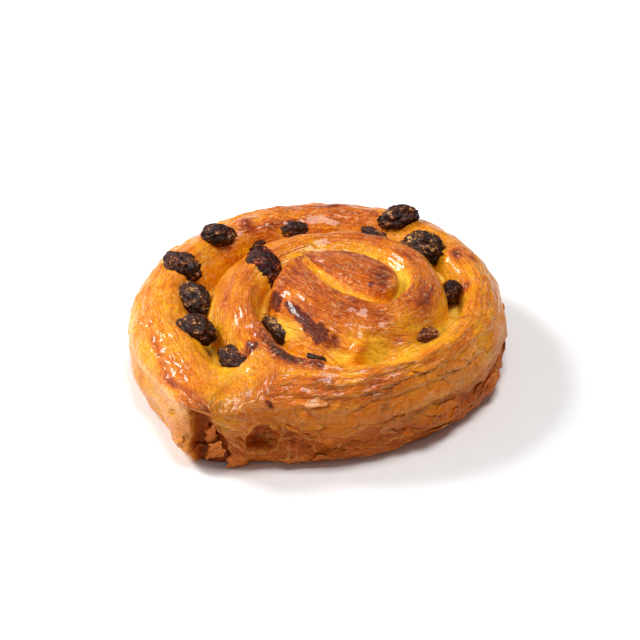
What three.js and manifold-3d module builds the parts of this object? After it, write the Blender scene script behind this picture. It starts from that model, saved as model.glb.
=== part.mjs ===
// A raisin danish: a strip of laminated dough and a strip of custard rolled up together, cut as a slice and
// baked lying flat, with raisins in and beside the groove between the turns.
// Millimetres, +Z up. The origin is under the middle of the slice, and the roll's loose end is at front left.
// A place on the roll is told by its turn angle: degrees round the roll from +X, counted on past 360.
import * as THREE from "three";
import { mergeVertices } from "three/addons/utils/BufferGeometryUtils.js";
import Module from "manifold-3d";

// The roll's plan.
const PITCH = 17.4; // how much wider the roll gets with each turn
const SPIRAL_ZERO = 39; // turn angle at which the spiral's radius would be zero
const CORE_CENTRE = [8, -4]; // the roll was cut and set down a little off centre
const OUTER_CENTRE = [4.5, -5];
const FOLD_START = [-3.5, 8.5]; // the first fold of the dough, at the heart of the roll
const FOLD_PULL = [6.5, -14.5];
const FOLD_END_PULL = 6;
const TIP = 335; // turn angle where the groove passes the free end of the roll
const EXIT = 959; // turn angle where the groove meets the rim, at the loose end
const EXIT_STRETCH = 22;
// Where the groove is squeezed in or bulges out: turn angle, how far, and over what stretch.
const NUDGES = [
  [335, -1.3, 30],
  [690, -3.5, 34],
  [868, 2.5, 26],
  [929, -5, 24],
];

// The rim's plan: a lopsided round with a corner where the loose end is tucked in, and two swellings.
const RIM = 53;
const RIM_SHIFT = 2.8;
const RIM_OVAL = 1.4;
const RIM_SKEW = 0.9;
const RIM_LEAN = -0.8;
const CORNER = { at: 234, out: 8.5, over: 13.5, up: 6.5, upOver: 14 };
const SWELLINGS = [
  [205, 1.3, 22],
  [340, 1, 20],
];

// Heights, as [turn angle, value] pairs with smooth steps between them.
const FLOOR = [
  [TIP - 175, 33.2], [TIP - 130, 30.8], [TIP - 85, 29.4], [TIP, 28.4], [450, 28.2], [490, 27],
  [540, 21.5], [590, 21.2], [615, 21.8], [640, 23.2], [655, 23.4], [668, 25], [684, 23.6], [700, 22],
  [714, 19], [735, 16], [757, 19], [790, 17], [835, 14.5], [880, 14], [933, 15], [943.5, 22.8],
  [949, 23.6], [EXIT, 22.2],
];
const OPENING = [
  [TIP, 0.5], [480, 0.6], [510, 1], [540, 1.8], [575, 1.4], [620, 1], [668, 0.8], [690, 1.2],
  [730, 1.8], [790, 1.4], [905, 1.6], [934, 2.2], [947, 0.5],
]; // half the width of the groove's floor
const STEEPNESS = [
  [TIP, 0.2], [460, 0.45], [500, 0.6], [540, 0.9], [600, 0.8], [628, 0.4], [668, 0.3], [700, 0.7],
  [720, 1], [935, 1], [947, 0.2],
]; // 0 for a soft valley, 1 for steep round banks
const DOME = [
  [0, 33.6], [10, 33.2], [18, 31.6], [26, 30], [34, 27.6], [44, 25.2], [60, 24.4],
]; // crest height by distance from the middle of the roll
// Lumps and dents in the crown: x, y, radius, rise.
const LUMPS = [
  [11, -29.2, 2.4, 2.6],
  [18.2, -27.8, 3.4, -1.2],
  [-22.8, 34.9, 3.4, 1.5],
  [-15.8, 35.5, 4.4, 0.9],
];
const CREST_TILT = 0.035; // the back of the slice rose more than its front
const INNER_BANK = 0.5; // the banks' share of the way from groove to groove
const OUTER_BANK = 0.42;
// Each bank's width by turn angle, 1 for the share above. The first fold's banks are narrow, so that its lobe
// bulges, and so is the lip of the second turn at front left.
const INNER_WIDTH = [
  [320, 0.36], [350, 0.45], [440, 0.6], [505, 0.9], [535, 0.5], [620, 0.45], [665, 0.9],
];
const OUTER_WIDTH = [
  [320, 0.36], [350, 0.45], [440, 0.6], [540, 1],
];
const SHOULDER = 15.5; // where the crown of the outer turn has become the side wall
const WALL_ROWS = 7;
const FOOT_INSET = 5; // the wall turns in to a smaller foot
const FOOT_RISE = 8;
// Crags in the side wall: waves per turn, slant with height, start, and how far they stand out.
const CRAGS = [
  [4, 0.55, 0, 0.5],
  [7, -0.7, 100, 0.4],
  [13, 0.35, 200, 0.4],
];

// The custard strip.
const CUSTARD_HALF = 1.0;
const CUSTARD_FOOT = 0.8;
const CUSTARD_LIFT = [
  [TIP, -4], [500, -3], [530, 0], [600, -0.6], [622, -1.5], [690, -1.5], [715, 0.6], [770, 0.8],
  [840, 0], [900, -0.4], [933, 0.2], [941, -6],
]; // top of the custard over the groove's floor
const CUSTARD_END = 941;
const GAP = 0.3;

// Egg shapes in the side wall: angle round the slice, how far in from the rim, height, size along, into and
// up the wall, lean to the side, and swing of the flat side. The hollows are cut out: the nick where the loose
// end has torn, narrow above and wide below, a burst air pocket beside it, and a crease. The flaps are torn
// flakes left standing in the nick.
const HOLLOWS = [
  { at: 236.3, inset: -1, height: 13.5, size: [6, 9, 15], lean: 6 },
  { at: 239.2, inset: -1, height: 3.5, size: [10.5, 9.5, 15], lean: 12 },
  { at: 251.9, inset: 0, height: 11.2, size: [8.4, 6.4, 8.8], lean: 0 },
  { at: 259.3, inset: 0, height: 8.5, size: [2.6, 2.8, 14], lean: -6 },
];
const FLAPS = [
  { at: 238.4, inset: 2, height: 5.8, size: [8, 1.3, 5.8], lean: -28, swing: 16 },
  { at: 244, inset: 2, height: 2.4, size: [5.6, 4.6, 4.4], lean: 0, swing: -12 },
];

// The raisins: place along the groove, how far outside its line, height of the middle, length, width and
// thickness, heading in plan, and tilt along the length.
const RAISINS = [
  { turn: 788, out: 8.8, height: 26.9, size: [13.5, 9, 7.6], heading: 10, tilt: -8 },
  { turn: 770, out: 2.1, height: 24.3, size: [14.5, 11.5, 10.5], heading: -22, tilt: 10 },
  { turn: 796, out: 3.8, height: 22, size: [11, 6.5, 6], heading: -25, tilt: 6 },
  { turn: 739, out: -0.4, height: 21, size: [8, 6, 7.5], heading: 65, tilt: -20 },
  { turn: 684, out: -1.6, height: 23.8, size: [10.5, 7, 5.5], heading: 20, tilt: 0 },
  { turn: 858, out: 7.7, height: 26.6, size: [11, 8, 6.8], heading: -5, tilt: 6 },
  { turn: 878, out: 7.6, height: 25, size: [13.5, 8.8, 8.4], heading: -35, tilt: 10 },
  { turn: 892, out: 0.9, height: 22.2, size: [13.5, 9, 8.6], heading: -62, tilt: 8 },
  { turn: 913, out: 3, height: 22.4, size: [13, 9.5, 9], heading: -28, tilt: 8 },
  { turn: 937, out: -1.6, height: 20.6, size: [14, 7.2, 7.2], heading: -55, tilt: 10 },
  { turn: 509, out: 5.8, height: 27.2, size: [15, 10, 9], heading: -66, tilt: 20 },
  { turn: 571, out: -2.2, height: 23.4, size: [13.5, 5.4, 6], heading: -50, tilt: 8 },
  { turn: 612, out: -2.8, height: 22.4, size: [9.5, 5, 4.6], heading: -18, tilt: 0 },
  { turn: 845.5, out: 4.4, height: 20, size: [9, 6, 6], heading: 25, tilt: 0 },
  { turn: 830, out: 6.5, height: 23.2, size: [11.5, 6, 6], heading: 12, tilt: 0 },
];
const RAISIN_AROUND = 12;
const RAISIN_BANDS = 7;
const WRINKLE = 0.09; // share of a raisin's size

// The mesh.
const TURN = 60; // stations in one turn
const STEP = 360 / TURN;
const FOLD = 26; // stations along the first fold
const FAN = TURN - 2 * FOLD; // columns that turn about the fold's inner end
const ROWS = 7; // points across a turn of dough
const LAST = FOLD + Math.round((EXIT - TIP) / STEP);

const radians = (degrees) => (degrees * Math.PI) / 180;
const clamp01 = (x) => Math.min(1, Math.max(0, x));
const smooth = (t) => t * t * (3 - 2 * t);
const mix = (a, b, t) => a + (b - a) * t;
const bump = (x, at, over) => Math.exp(-(((x - at) / over) ** 2));

// The value of a [place, value] table, with smooth steps between its entries.
function along(table, place) {
  if (place <= table[0][0]) return table[0][1];
  for (let k = 1; k < table.length; k++) {
    const [end, value] = table[k];
    const [start, before] = table[k - 1];
    if (place <= end) return mix(before, value, smooth((place - start) / (end - start)));
  }
  return table[table.length - 1][1];
}

// The angle from one direction to another, between -180 and 180.
const turnedFrom = (start, angle) => ((((angle - start) % 360) + 540) % 360) - 180;

function rimRadius(angle) {
  const a = radians(angle);
  const shift = RIM_LEAN * Math.cos(a) + RIM_SHIFT * Math.sin(a);
  const oval = RIM_OVAL * Math.cos(2 * a) + RIM_SKEW * Math.sin(2 * a);
  let radius = RIM + shift + oval + CORNER.out * bump(turnedFrom(CORNER.at, angle), 0, CORNER.over);
  for (const [at, by, over] of SWELLINGS) radius += by * bump(turnedFrom(at, angle), 0, over);
  return radius;
}

const rimPoint = (angle, inset = 0) =>
  new THREE.Vector2(Math.cos(radians(angle)), Math.sin(radians(angle))).multiplyScalar(
    rimRadius(angle) - inset,
  );

function rollCentre(turnAngle) {
  const t = smooth(clamp01((turnAngle - 600) / 500));
  return new THREE.Vector2(...CORE_CENTRE).lerp(new THREE.Vector2(...OUTER_CENTRE), t);
}

// The groove's line in plan, outside the first fold.
function spiralPoint(turnAngle) {
  let radius = (PITCH * (turnAngle - SPIRAL_ZERO)) / 360;
  for (const [at, by, over] of NUDGES) radius += by * bump(turnAngle, at, over);
  const a = radians(turnAngle);
  const away = new THREE.Vector2(Math.cos(a), Math.sin(a)).multiplyScalar(radius);
  const onSpiral = rollCentre(turnAngle).add(away);
  const leaving = clamp01((turnAngle - EXIT + EXIT_STRETCH) / EXIT_STRETCH);
  return onSpiral.lerp(rimPoint(turnAngle), leaving ** 3);
}

function firstFold() {
  const end = spiralPoint(TIP);
  const heading = end.clone().sub(spiralPoint(TIP - 2)).normalize();
  return new THREE.CubicBezierCurve(
    new THREE.Vector2(...FOLD_START),
    new THREE.Vector2(FOLD_START[0] + FOLD_PULL[0], FOLD_START[1] + FOLD_PULL[1]),
    end.clone().addScaledVector(heading, -FOLD_END_PULL),
    end,
  );
}

// The turn angle of a groove station. Stations before FOLD lie on the first fold.
const turnAngleOf = (station) => TIP + (station - FOLD) * STEP;

// How far the wall stands out at an angle and height, between the shoulder and the foot.
function crag(angle, height, shoulder) {
  const fade = clamp01((4 * height * (shoulder - height)) / shoulder ** 2);
  let out = 0;
  for (const [waves, slant, start, by] of CRAGS)
    out += by * Math.sin(radians(waves * angle + start) + slant * height);
  return out * fade;
}

// A station's point in plan: first fold, then spiral, then one round of the rim.
const foldCurve = firstFold();
function stationPoint(station) {
  if (station < FOLD) return foldCurve.getPoint(station / FOLD);
  if (station <= LAST) return spiralPoint(turnAngleOf(station));
  return rimPoint(turnAngleOf(station));
}

const shoulderHeight = (turnAngle) =>
  SHOULDER + CORNER.up * bump(turnedFrom(CORNER.at, turnAngle), 0, CORNER.upOver);
const floorHeight = (station) => {
  const turnAngle = turnAngleOf(station);
  return station < LAST ? along(FLOOR, turnAngle) : shoulderHeight(turnAngle);
};

// How far up its bank a point is, t of the way from the groove's floor to the crest.
const rise = (t, steepness) => mix(smooth(t), Math.sqrt(1 - (1 - t) ** 2), steepness);

// A point on the crown of the dough between groove station `inner` and groove or rim station `outer`.
function crownPoint(inner, outer, share) {
  const a = stationPoint(inner);
  const b = stationPoint(outer);
  const width = a.distanceTo(b);
  const point = a.clone().lerp(b, share);
  const crest = along(DOME, point.distanceTo(rollCentre(turnAngleOf(outer)))) + CREST_TILT * point.y;
  const floor = mix(floorHeight(inner), floorHeight(outer), smooth(share));
  const gone = (distance, station, bank) =>
    clamp01((distance - along(OPENING, turnAngleOf(station))) / Math.max(bank * width, 1e-6));
  const innerBank = INNER_BANK * along(INNER_WIDTH, turnAngleOf(inner));
  const outerBank = OUTER_BANK * along(OUTER_WIDTH, turnAngleOf(outer));
  const inside = rise(gone(share * width, inner, innerBank), along(STEEPNESS, turnAngleOf(inner)));
  const onRim = outer > LAST;
  const outside = onRim
    ? Math.sqrt(1 - clamp01((share - OUTER_BANK) / (1 - OUTER_BANK)) ** 2)
    : rise(gone((1 - share) * width, outer, outerBank), along(STEEPNESS, turnAngleOf(outer)));
  const narrow = clamp01(width / (PITCH * 0.45));
  let height = floor + (crest - floor) * inside * outside * smooth(narrow);
  for (const [x, y, radius, by] of LUMPS)
    height += by * bump(Math.hypot(point.x - x, point.y - y), 0, radius);
  return new THREE.Vector3(point.x, point.y, height);
}

// A closed surface gathered from named corners, so that neighbouring faces share them.
class Surface {
  constructor() {
    this.places = [];
    this.faces = [];
    this.known = new Map();
  }
  corner(key, make) {
    if (!this.known.has(key)) {
      const p = make();
      this.known.set(key, this.places.push([p.x, p.y, p.z]) - 1);
    }
    return this.known.get(key);
  }
  face(a, b, c) {
    if (a !== b && b !== c && c !== a) this.faces.push(a, b, c);
  }
  quad(a, b, c, d) {
    this.face(a, b, c);
    this.face(a, c, d);
  }
  geometry() {
    const made = new THREE.BufferGeometry();
    made.setAttribute("position", new THREE.Float32BufferAttribute(this.places.flat(), 3));
    made.setIndex(this.faces);
    return made;
  }
}

// The whole slice as one closed surface: the crown wound as one long strip, the wall, and a flat foot.
function sliceSurface() {
  const made = new Surface();
  const innerOf = (column) => (column <= FOLD ? FOLD - column : Math.max(0, column - FOLD - FAN));
  const outerOf = (column) => FOLD + column;
  const grooveCorner = (station) =>
    made.corner(`s${station === LAST + TURN ? LAST : station}`, () => {
      const p = stationPoint(station);
      return new THREE.Vector3(p.x, p.y, floorHeight(station));
    });
  const crownCorner = (column, row) => {
    if (row === 0) return grooveCorner(innerOf(column));
    if (row === ROWS) return grooveCorner(outerOf(column));
    if (innerOf(column) === outerOf(column) || innerOf(column) === LAST) return grooveCorner(innerOf(column));
    const share = (1 - Math.cos((Math.PI * row) / ROWS)) / 2;
    return made.corner(`c${column}/${row}`, () => crownPoint(innerOf(column), outerOf(column), share));
  };
  const columns = FOLD + FAN + LAST;
  for (let column = 0; column < columns; column++)
    for (let row = 0; row < ROWS; row++)
      made.quad(
        crownCorner(column, row),
        crownCorner(column, row + 1),
        crownCorner(column + 1, row + 1),
        crownCorner(column + 1, row),
      );
  const wallCorner = (station, row) => {
    if (row === 0) return grooveCorner(station);
    const around = (station - LAST) % TURN;
    return made.corner(`w${around}/${row}`, () => {
      const start = floorHeight(station === LAST + TURN ? LAST : station);
      const height = start * (1 - row / WALL_ROWS);
      const down = clamp01(1 - height / FOOT_RISE);
      const inset = FOOT_INSET * (1 - Math.sqrt(1 - down ** 2));
      const p = rimPoint(turnAngleOf(station), inset - crag(turnAngleOf(station), height, start));
      return new THREE.Vector3(p.x, p.y, height);
    });
  };
  const middle = made.corner("foot", () => new THREE.Vector3(0, 0, 0));
  for (let station = LAST; station < LAST + TURN; station++) {
    for (let row = 0; row < WALL_ROWS; row++)
      made.quad(
        wallCorner(station, row),
        wallCorner(station, row + 1),
        wallCorner(station + 1, row + 1),
        wallCorner(station + 1, row),
      );
    made.face(wallCorner(station, WALL_ROWS), middle, wallCorner(station + 1, WALL_ROWS));
  }
  return made.geometry();
}

// A strip of even section that stands on edge along the groove, from station to station. Its section is given
// for each station by a function, as [across, height] corners in order.
function stripSurface(first, last, sectionAt) {
  const made = new Surface();
  const count = sectionAt(first).length;
  const corner = (station, k) =>
    made.corner(`${station}/${k}`, () => {
      const [across, height] = sectionAt(station)[k];
      const here = stationPoint(station);
      const ahead = stationPoint(Math.min(station + 1, last)).sub(stationPoint(Math.max(station - 1, first)));
      const side = new THREE.Vector2(ahead.y, -ahead.x).normalize();
      return new THREE.Vector3(here.x + side.x * across, here.y + side.y * across, height);
    });
  for (let station = first; station < last; station++)
    for (let k = 0; k < count; k++) {
      const next = (k + 1) % count;
      made.quad(corner(station, k), corner(station + 1, k), corner(station + 1, next), corner(station, next));
    }
  for (let k = 1; k < count - 1; k++) {
    made.face(corner(first, 0), corner(first, k), corner(first, k + 1));
    made.face(corner(last, 0), corner(last, k + 1), corner(last, k));
  }
  return made.geometry();
}

// The custard's section: a thin wall that widens to fill the floor of the groove. With spare it is the slot.
function custardSection(station, spare) {
  const turnAngle = turnAngleOf(station);
  const top = along(FLOOR, turnAngle) + along(CUSTARD_LIFT, turnAngle) + spare;
  const half = CUSTARD_HALF + spare;
  const brim = Math.max(half, along(OPENING, turnAngle) + CUSTARD_HALF * 0.4 + spare);
  const foot = spare > 0 ? -1 : CUSTARD_FOOT;
  return [
    [half, foot],
    [half, top - 4.5],
    [brim, top - 1.2],
    [brim * 0.6, top - 0.2],
    [-brim * 0.6, top - 0.2],
    [-brim, top - 1.2],
    [-half, top - 4.5],
    [-half, foot],
  ];
}

const CUSTARD_FIRST = 2;
const CUSTARD_LAST = FOLD + Math.round((CUSTARD_END - TIP) / STEP);
const custardSurface = (spare) =>
  stripSurface(CUSTARD_FIRST, CUSTARD_LAST, (station) => custardSection(station, spare));

// A raisin: an egg shape with dried-in furrows along it, its middle at the origin and its length along X.
function raisinSurface(size, seed, spare) {
  const made = new THREE.SphereGeometry(0.5, RAISIN_AROUND, RAISIN_BANDS);
  const at = made.getAttribute("position");
  const p = new THREE.Vector3();
  for (let k = 0; k < at.count; k++) {
    p.fromBufferAttribute(at, k);
    const around = Math.atan2(p.z, p.x);
    const fade = Math.hypot(p.x, p.z) * 2;
    const furrows = Math.sin(3 * around + seed) + 0.7 * Math.sin(4 * p.y + 2 * around + 2.3 * seed);
    p.multiplyScalar(1 + WRINKLE * fade * furrows);
    // The sphere's poles are its ends, laid along X here.
    at.setXYZ(k, p.y * (size[0] + 2 * spare), p.z * (size[1] + 2 * spare), p.x * (size[2] + 2 * spare));
  }
  return made;
}

function placedRaisin(raisin, seed, spare) {
  const r = spiralPoint(raisin.turn);
  const outwards = r.clone().sub(rollCentre(raisin.turn)).normalize();
  const at = r.addScaledVector(outwards, raisin.out);
  const made = raisinSurface(raisin.size, seed, spare);
  made.rotateY(radians(raisin.tilt)).rotateZ(radians(raisin.heading));
  return made.translate(at.x, at.y, raisin.height);
}

function eggSurface({ at, inset, height, size, lean, swing = 0 }) {
  const made = new THREE.SphereGeometry(0.5, 14, 8).rotateX(Math.PI / 2).scale(size[1], size[0], size[2]);
  made.rotateX(radians(-lean)).rotateZ(radians(at + swing));
  const middle = rimPoint(at, inset);
  return made.translate(middle.x, middle.y, height);
}

const wasm = await Module();
wasm.setup();

function solid(geometry) {
  const bare = geometry.clone();
  bare.deleteAttribute("normal");
  bare.deleteAttribute("uv");
  const merged = mergeVertices(bare, 1e-4);
  return new wasm.Manifold(
    new wasm.Mesh({
      numProp: 3,
      vertProperties: merged.getAttribute("position").array,
      triVerts: new Uint32Array(merged.index.array),
    }),
  );
}

function geometryOf(manifold) {
  const { vertProperties, triVerts } = manifold.getMesh();
  const made = new THREE.BufferGeometry();
  made.setAttribute("position", new THREE.BufferAttribute(vertProperties, 3));
  made.setIndex(new THREE.BufferAttribute(triVerts, 1));
  made.computeVertexNormals();
  return made;
}

// The largest of the bodies that a cut leaves.
const largest = (manifold) => manifold.decompose().reduce((a, b) => (a.volume() > b.volume() ? a : b));

function named(name, geometry, material) {
  const mesh = new THREE.Mesh(geometry, material);
  mesh.name = name;
  return mesh;
}

const crust = new THREE.MeshStandardMaterial({ color: 0xc9771f, roughness: 0.4, metalness: 0 });
const custardYellow = new THREE.MeshStandardMaterial({ color: 0xf0bf4a, roughness: 0.45, metalness: 0 });
const raisinBrown = new THREE.MeshStandardMaterial({ color: 0x2e1a14, roughness: 0.5, metalness: 0 });

const raisinShapes = RAISINS.map((raisin, k) => placedRaisin(raisin, k, 0));
const raisinBeds = RAISINS.map((raisin, k) => solid(placedRaisin(raisin, k, GAP)));
const slot = solid(custardSurface(GAP));
let dough = solid(sliceSurface()).subtract(slot);
let custard = solid(custardSurface(0));
for (const hollow of HOLLOWS) dough = dough.subtract(solid(eggSurface(hollow)));
for (const flap of FLAPS) dough = dough.add(solid(eggSurface(flap)));
for (const bed of raisinBeds) {
  dough = dough.subtract(bed);
  custard = custard.subtract(bed);
}

const danish = new THREE.Group();
danish.add(named("dough", geometryOf(largest(dough)), crust));
danish.add(named("custard", geometryOf(largest(custard)), custardYellow));
raisinShapes.forEach((shape, k) =>
  danish.add(named(`raisin_${String(k + 1).padStart(2, "0")}`, shape, raisinBrown)),
);

// The slice stands on the floor, with the origin under the middle of its box.
const box = new THREE.Box3().setFromObject(danish.getObjectByName("dough"));
danish.position.set(-(box.min.x + box.max.x) / 2, -(box.min.y + box.max.y) / 2, 0);

export default danish;
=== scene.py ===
"""A raisin danish: a strip of laminated dough and custard rolled up, baked lying flat and brushed with egg.

The dough is one fine mesh that follows the same roll as the solid in the frame, with its layers, strands,
blisters and flakes as relief. Lengths are worked out in millimetres and written to the meshes in metres.
"""

import logging
import math
from dataclasses import dataclass
from enum import Enum

import bpy
import numpy as np
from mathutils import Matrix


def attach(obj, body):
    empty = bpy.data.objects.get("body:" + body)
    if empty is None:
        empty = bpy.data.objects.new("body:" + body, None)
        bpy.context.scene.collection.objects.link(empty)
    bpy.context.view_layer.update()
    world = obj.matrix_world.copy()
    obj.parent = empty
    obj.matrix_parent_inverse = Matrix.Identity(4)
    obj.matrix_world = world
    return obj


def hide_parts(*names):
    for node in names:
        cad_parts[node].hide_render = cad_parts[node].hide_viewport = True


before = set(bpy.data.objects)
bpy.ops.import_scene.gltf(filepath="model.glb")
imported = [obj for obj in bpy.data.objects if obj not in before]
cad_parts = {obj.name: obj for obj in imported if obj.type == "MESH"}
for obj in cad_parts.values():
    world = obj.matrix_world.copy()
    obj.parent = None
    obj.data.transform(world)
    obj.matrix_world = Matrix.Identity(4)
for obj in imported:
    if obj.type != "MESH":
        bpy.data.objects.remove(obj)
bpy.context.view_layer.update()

MM = 0.001
BODY = "root"
SEED = 12
LOG = logging.getLogger("danish")

Array = np.ndarray


class Slot(Enum):
    """The record's material slots."""

    CRUST = "crust"
    CUSTARD = "custard"
    RAISIN = "raisin"


def smooth(t: Array) -> Array:
    """Returns t from 0 to 1 with soft ends."""
    return t * t * (3 - 2 * t)


def clamp01(x: Array) -> Array:
    """Returns x kept between 0 and 1."""
    return np.clip(x, 0.0, 1.0)


def step(low: float, high: float, x: Array) -> Array:
    """Returns 0 below low and 1 above high, with a soft step between."""
    return smooth(clamp01((x - low) / (high - low)))


def mix(a: Array, b: Array, t: Array) -> Array:
    """Returns the value that is t of the way from a to b."""
    return a + (b - a) * t


def bump(x: Array, at: float, over: float) -> Array:
    """Returns a round bump of height 1 at a place, which dies away over a distance."""
    return np.exp(-(((x - at) / over) ** 2))


def along(table: tuple, place: Array) -> Array:
    """Reads a table of (place, value) pairs with smooth steps between its entries.

    Args:
        table: The pairs, in rising order of place.
        place: Where to read it.

    Returns:
        The value at each place.
    """
    places, values = np.array(table, dtype=float).T
    held = np.clip(place, places[0], places[-1])
    k = np.clip(np.searchsorted(places, held) - 1, 0, len(places) - 2)
    t = (held - places[k]) / (places[k + 1] - places[k])
    return mix(values[k], values[k + 1], smooth(t))


def turned_from(start: float, angle: Array) -> Array:
    """Returns the angle from one direction to another, between -180 and 180 degrees."""
    return np.mod(angle - start + 180, 360) - 180


def directions(angle: Array) -> Array:
    """Returns the unit vectors in plan for angles in degrees."""
    a = np.radians(angle)
    return np.stack([np.cos(a), np.sin(a)], -1)


class Noise:
    """Smooth seeded noise in space, between about -1 and 1."""

    def __init__(self, seed: int) -> None:
        """Draws the noise's slopes.

        Args:
            seed: Fixes the pattern.
        """
        draw = np.random.default_rng(seed)
        self.order = np.tile(draw.permutation(256), 3)
        slopes = draw.normal(size=(256, 3))
        self.slopes = slopes / np.linalg.norm(slopes, axis=1, keepdims=True)

    def at(self, x: Array, y: Array, z: Array | float = 0.5) -> Array:
        """Reads the noise.

        Args:
            x: The points' first coordinates, with one unit as one feature.
            y: Their second coordinates.
            z: Their third coordinates.

        Returns:
            The noise at each point.
        """
        points = np.stack(np.broadcast_arrays(x, y, z), -1).astype(float)
        cell = np.floor(points).astype(int)
        part = points - cell
        fade = part**3 * (part * (part * 6 - 15) + 10)
        total = np.zeros(points.shape[:-1])
        for corner in np.ndindex(2, 2, 2):
            at = (cell + corner) & 255
            index = self.order[self.order[self.order[at[..., 0]] + at[..., 1]] + at[..., 2]]
            weight = np.prod(np.where(corner, fade, 1 - fade), axis=-1)
            total += weight * np.sum(self.slopes[index] * (part - corner), axis=-1)
        return total * 1.7


@dataclass(frozen=True)
class Roll:
    """The plan and heights of the roll, in millimetres, with places on it told by turn angle in degrees."""

    pitch: float = 17.4
    spiral_zero: float = 39
    core_centre: tuple = (8, -4)
    outer_centre: tuple = (4.5, -5)
    fold_start: tuple = (-3.5, 8.5)
    fold_pull: tuple = (6.5, -14.5)
    fold_end_pull: float = 6
    tip: float = 335
    exit: float = 959
    exit_stretch: float = 22
    nudges: tuple = ((335, -1.3, 30), (690, -3.5, 34), (868, 2.5, 26), (929, -5, 24))
    rim: float = 53
    rim_shift: float = 2.8
    rim_oval: float = 1.4
    rim_skew: float = 0.9
    rim_lean: float = -0.8
    corner_at: float = 234
    corner_out: float = 8.5
    corner_over: float = 13.5
    corner_up: float = 6.5
    corner_up_over: float = 14
    swellings: tuple = ((205, 1.3, 22), (340, 1, 20))
    shoulder: float = 15.5
    crest_tilt: float = 0.035
    inner_bank: float = 0.5
    outer_bank: float = 0.42
    inner_width: tuple = (
        (320, 0.36), (350, 0.45), (440, 0.6), (505, 0.9), (535, 0.5), (620, 0.45), (665, 0.9),
    )
    outer_width: tuple = ((320, 0.36), (350, 0.45), (440, 0.6), (540, 1))
    foot_inset: float = 5
    foot_rise: float = 8
    floor: tuple = (
        (160, 33.2), (205, 30.8), (250, 29.4), (335, 28.4), (450, 28.2), (490, 27), (540, 21.5),
        (590, 21.2), (615, 21.8), (640, 23.2), (655, 23.4), (668, 25), (684, 23.6), (700, 22), (714, 19),
        (735, 16), (757, 19), (790, 17), (835, 14.5), (880, 14), (933, 15), (943.5, 22.8), (949, 23.6),
        (959, 22.2),
    )
    opening: tuple = (
        (335, 0.5), (480, 0.6), (510, 1), (540, 1.8), (575, 1.4), (620, 1), (668, 0.8), (690, 1.2),
        (730, 1.8), (790, 1.4), (905, 1.6), (934, 2.2), (947, 0.5),
    )
    steepness: tuple = (
        (335, 0.2), (460, 0.45), (500, 0.6), (540, 0.9), (600, 0.8), (628, 0.4), (668, 0.3), (700, 0.7),
        (720, 1), (935, 1), (947, 0.2),
    )
    dome: tuple = ((0, 33.6), (10, 33.2), (18, 31.6), (26, 30), (34, 27.6), (44, 25.2), (60, 24.4))
    custard_half: float = 1.0
    custard_lift: tuple = (
        (335, -4), (500, -3), (530, 0), (600, -0.6), (622, -1.5), (690, -1.5), (715, 0.6), (770, 0.8),
        (840, 0), (900, -0.4), (933, 0.2), (941, -6),
    )
    fold_span: float = 156
    crags: tuple = ((4, 0.55, 0, 0.5), (7, -0.7, 100, 0.4), (13, 0.35, 200, 0.4))

    def rim_radius(self, angle: Array) -> Array:
        """Works out the rim's outline.

        Args:
            angle: Directions from the middle of the plan, in degrees.

        Returns:
            The distance of the rim from the middle in each direction.
        """
        a = np.radians(angle)
        radius = self.rim + self.rim_lean * np.cos(a) + self.rim_shift * np.sin(a)
        radius = radius + self.rim_oval * np.cos(2 * a) + self.rim_skew * np.sin(2 * a)
        radius = radius + self.corner_out * bump(turned_from(self.corner_at, angle), 0, self.corner_over)
        for at, by, over in self.swellings:
            radius = radius + by * bump(turned_from(at, angle), 0, over)
        return radius

    def rim_point(self, angle: Array, inset: Array | float = 0.0) -> Array:
        """Returns points on the rim, or inside it by an inset."""
        return directions(angle) * (self.rim_radius(angle) - inset)[..., None]

    def centre(self, turn: Array) -> Array:
        """Returns the point that the roll winds round, which moves a little from turn to turn."""
        t = smooth(clamp01((np.asarray(turn, float) - 600) / 500))[..., None]
        return mix(np.array(self.core_centre), np.array(self.outer_centre), t)

    def spiral_point(self, turn: Array) -> Array:
        """Works out the groove's line outside the first fold.

        Args:
            turn: Turn angles.

        Returns:
            The line's points in plan. The last of them run out to the rim.
        """
        turn = np.asarray(turn, float)
        radius = self.pitch * (turn - self.spiral_zero) / 360
        for at, by, over in self.nudges:
            radius = radius + by * bump(turn, at, over)
        on_spiral = self.centre(turn) + directions(turn) * radius[..., None]
        leaving = clamp01((turn - self.exit + self.exit_stretch) / self.exit_stretch) ** 3
        return mix(on_spiral, self.rim_point(turn), leaving[..., None])

    def fold_point(self, t: Array) -> Array:
        """Works out the first fold's line.

        Args:
            t: Shares of the way, from its start at 0 to the tip of the roll at 1.

        Returns:
            The line's points in plan.
        """
        end = self.spiral_point(np.array(self.tip))
        heading = end - self.spiral_point(np.array(self.tip - 2))
        heading = heading / np.linalg.norm(heading)
        start = np.array(self.fold_start, float)
        pulled = start + np.array(self.fold_pull, float)
        landing = end - heading * self.fold_end_pull
        t = np.asarray(t, float)[..., None]
        return (1 - t) ** 3 * start + 3 * t * (1 - t) ** 2 * pulled + 3 * t**2 * (1 - t) * landing + t**3 * end

    def crag(self, turn: Array, height: Array) -> Array:
        """Works out the wall's crags.

        Args:
            turn: Turn angles.
            height: Heights between the foot and the shoulder.

        Returns:
            How far the wall stands out at each place.
        """
        shoulder = self.shoulder_height(turn)
        fade = clamp01(4 * height * (shoulder - height) / shoulder**2)
        out = 0
        for waves, slant, start, by in self.crags:
            out = out + by * np.sin(np.radians(waves * turn + start) + slant * height)
        return out * fade

    def shoulder_height(self, turn: Array) -> Array:
        """Returns the height at which the crown turns into the side wall."""
        return self.shoulder + self.corner_up * bump(turned_from(self.corner_at, turn), 0, self.corner_up_over)


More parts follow.
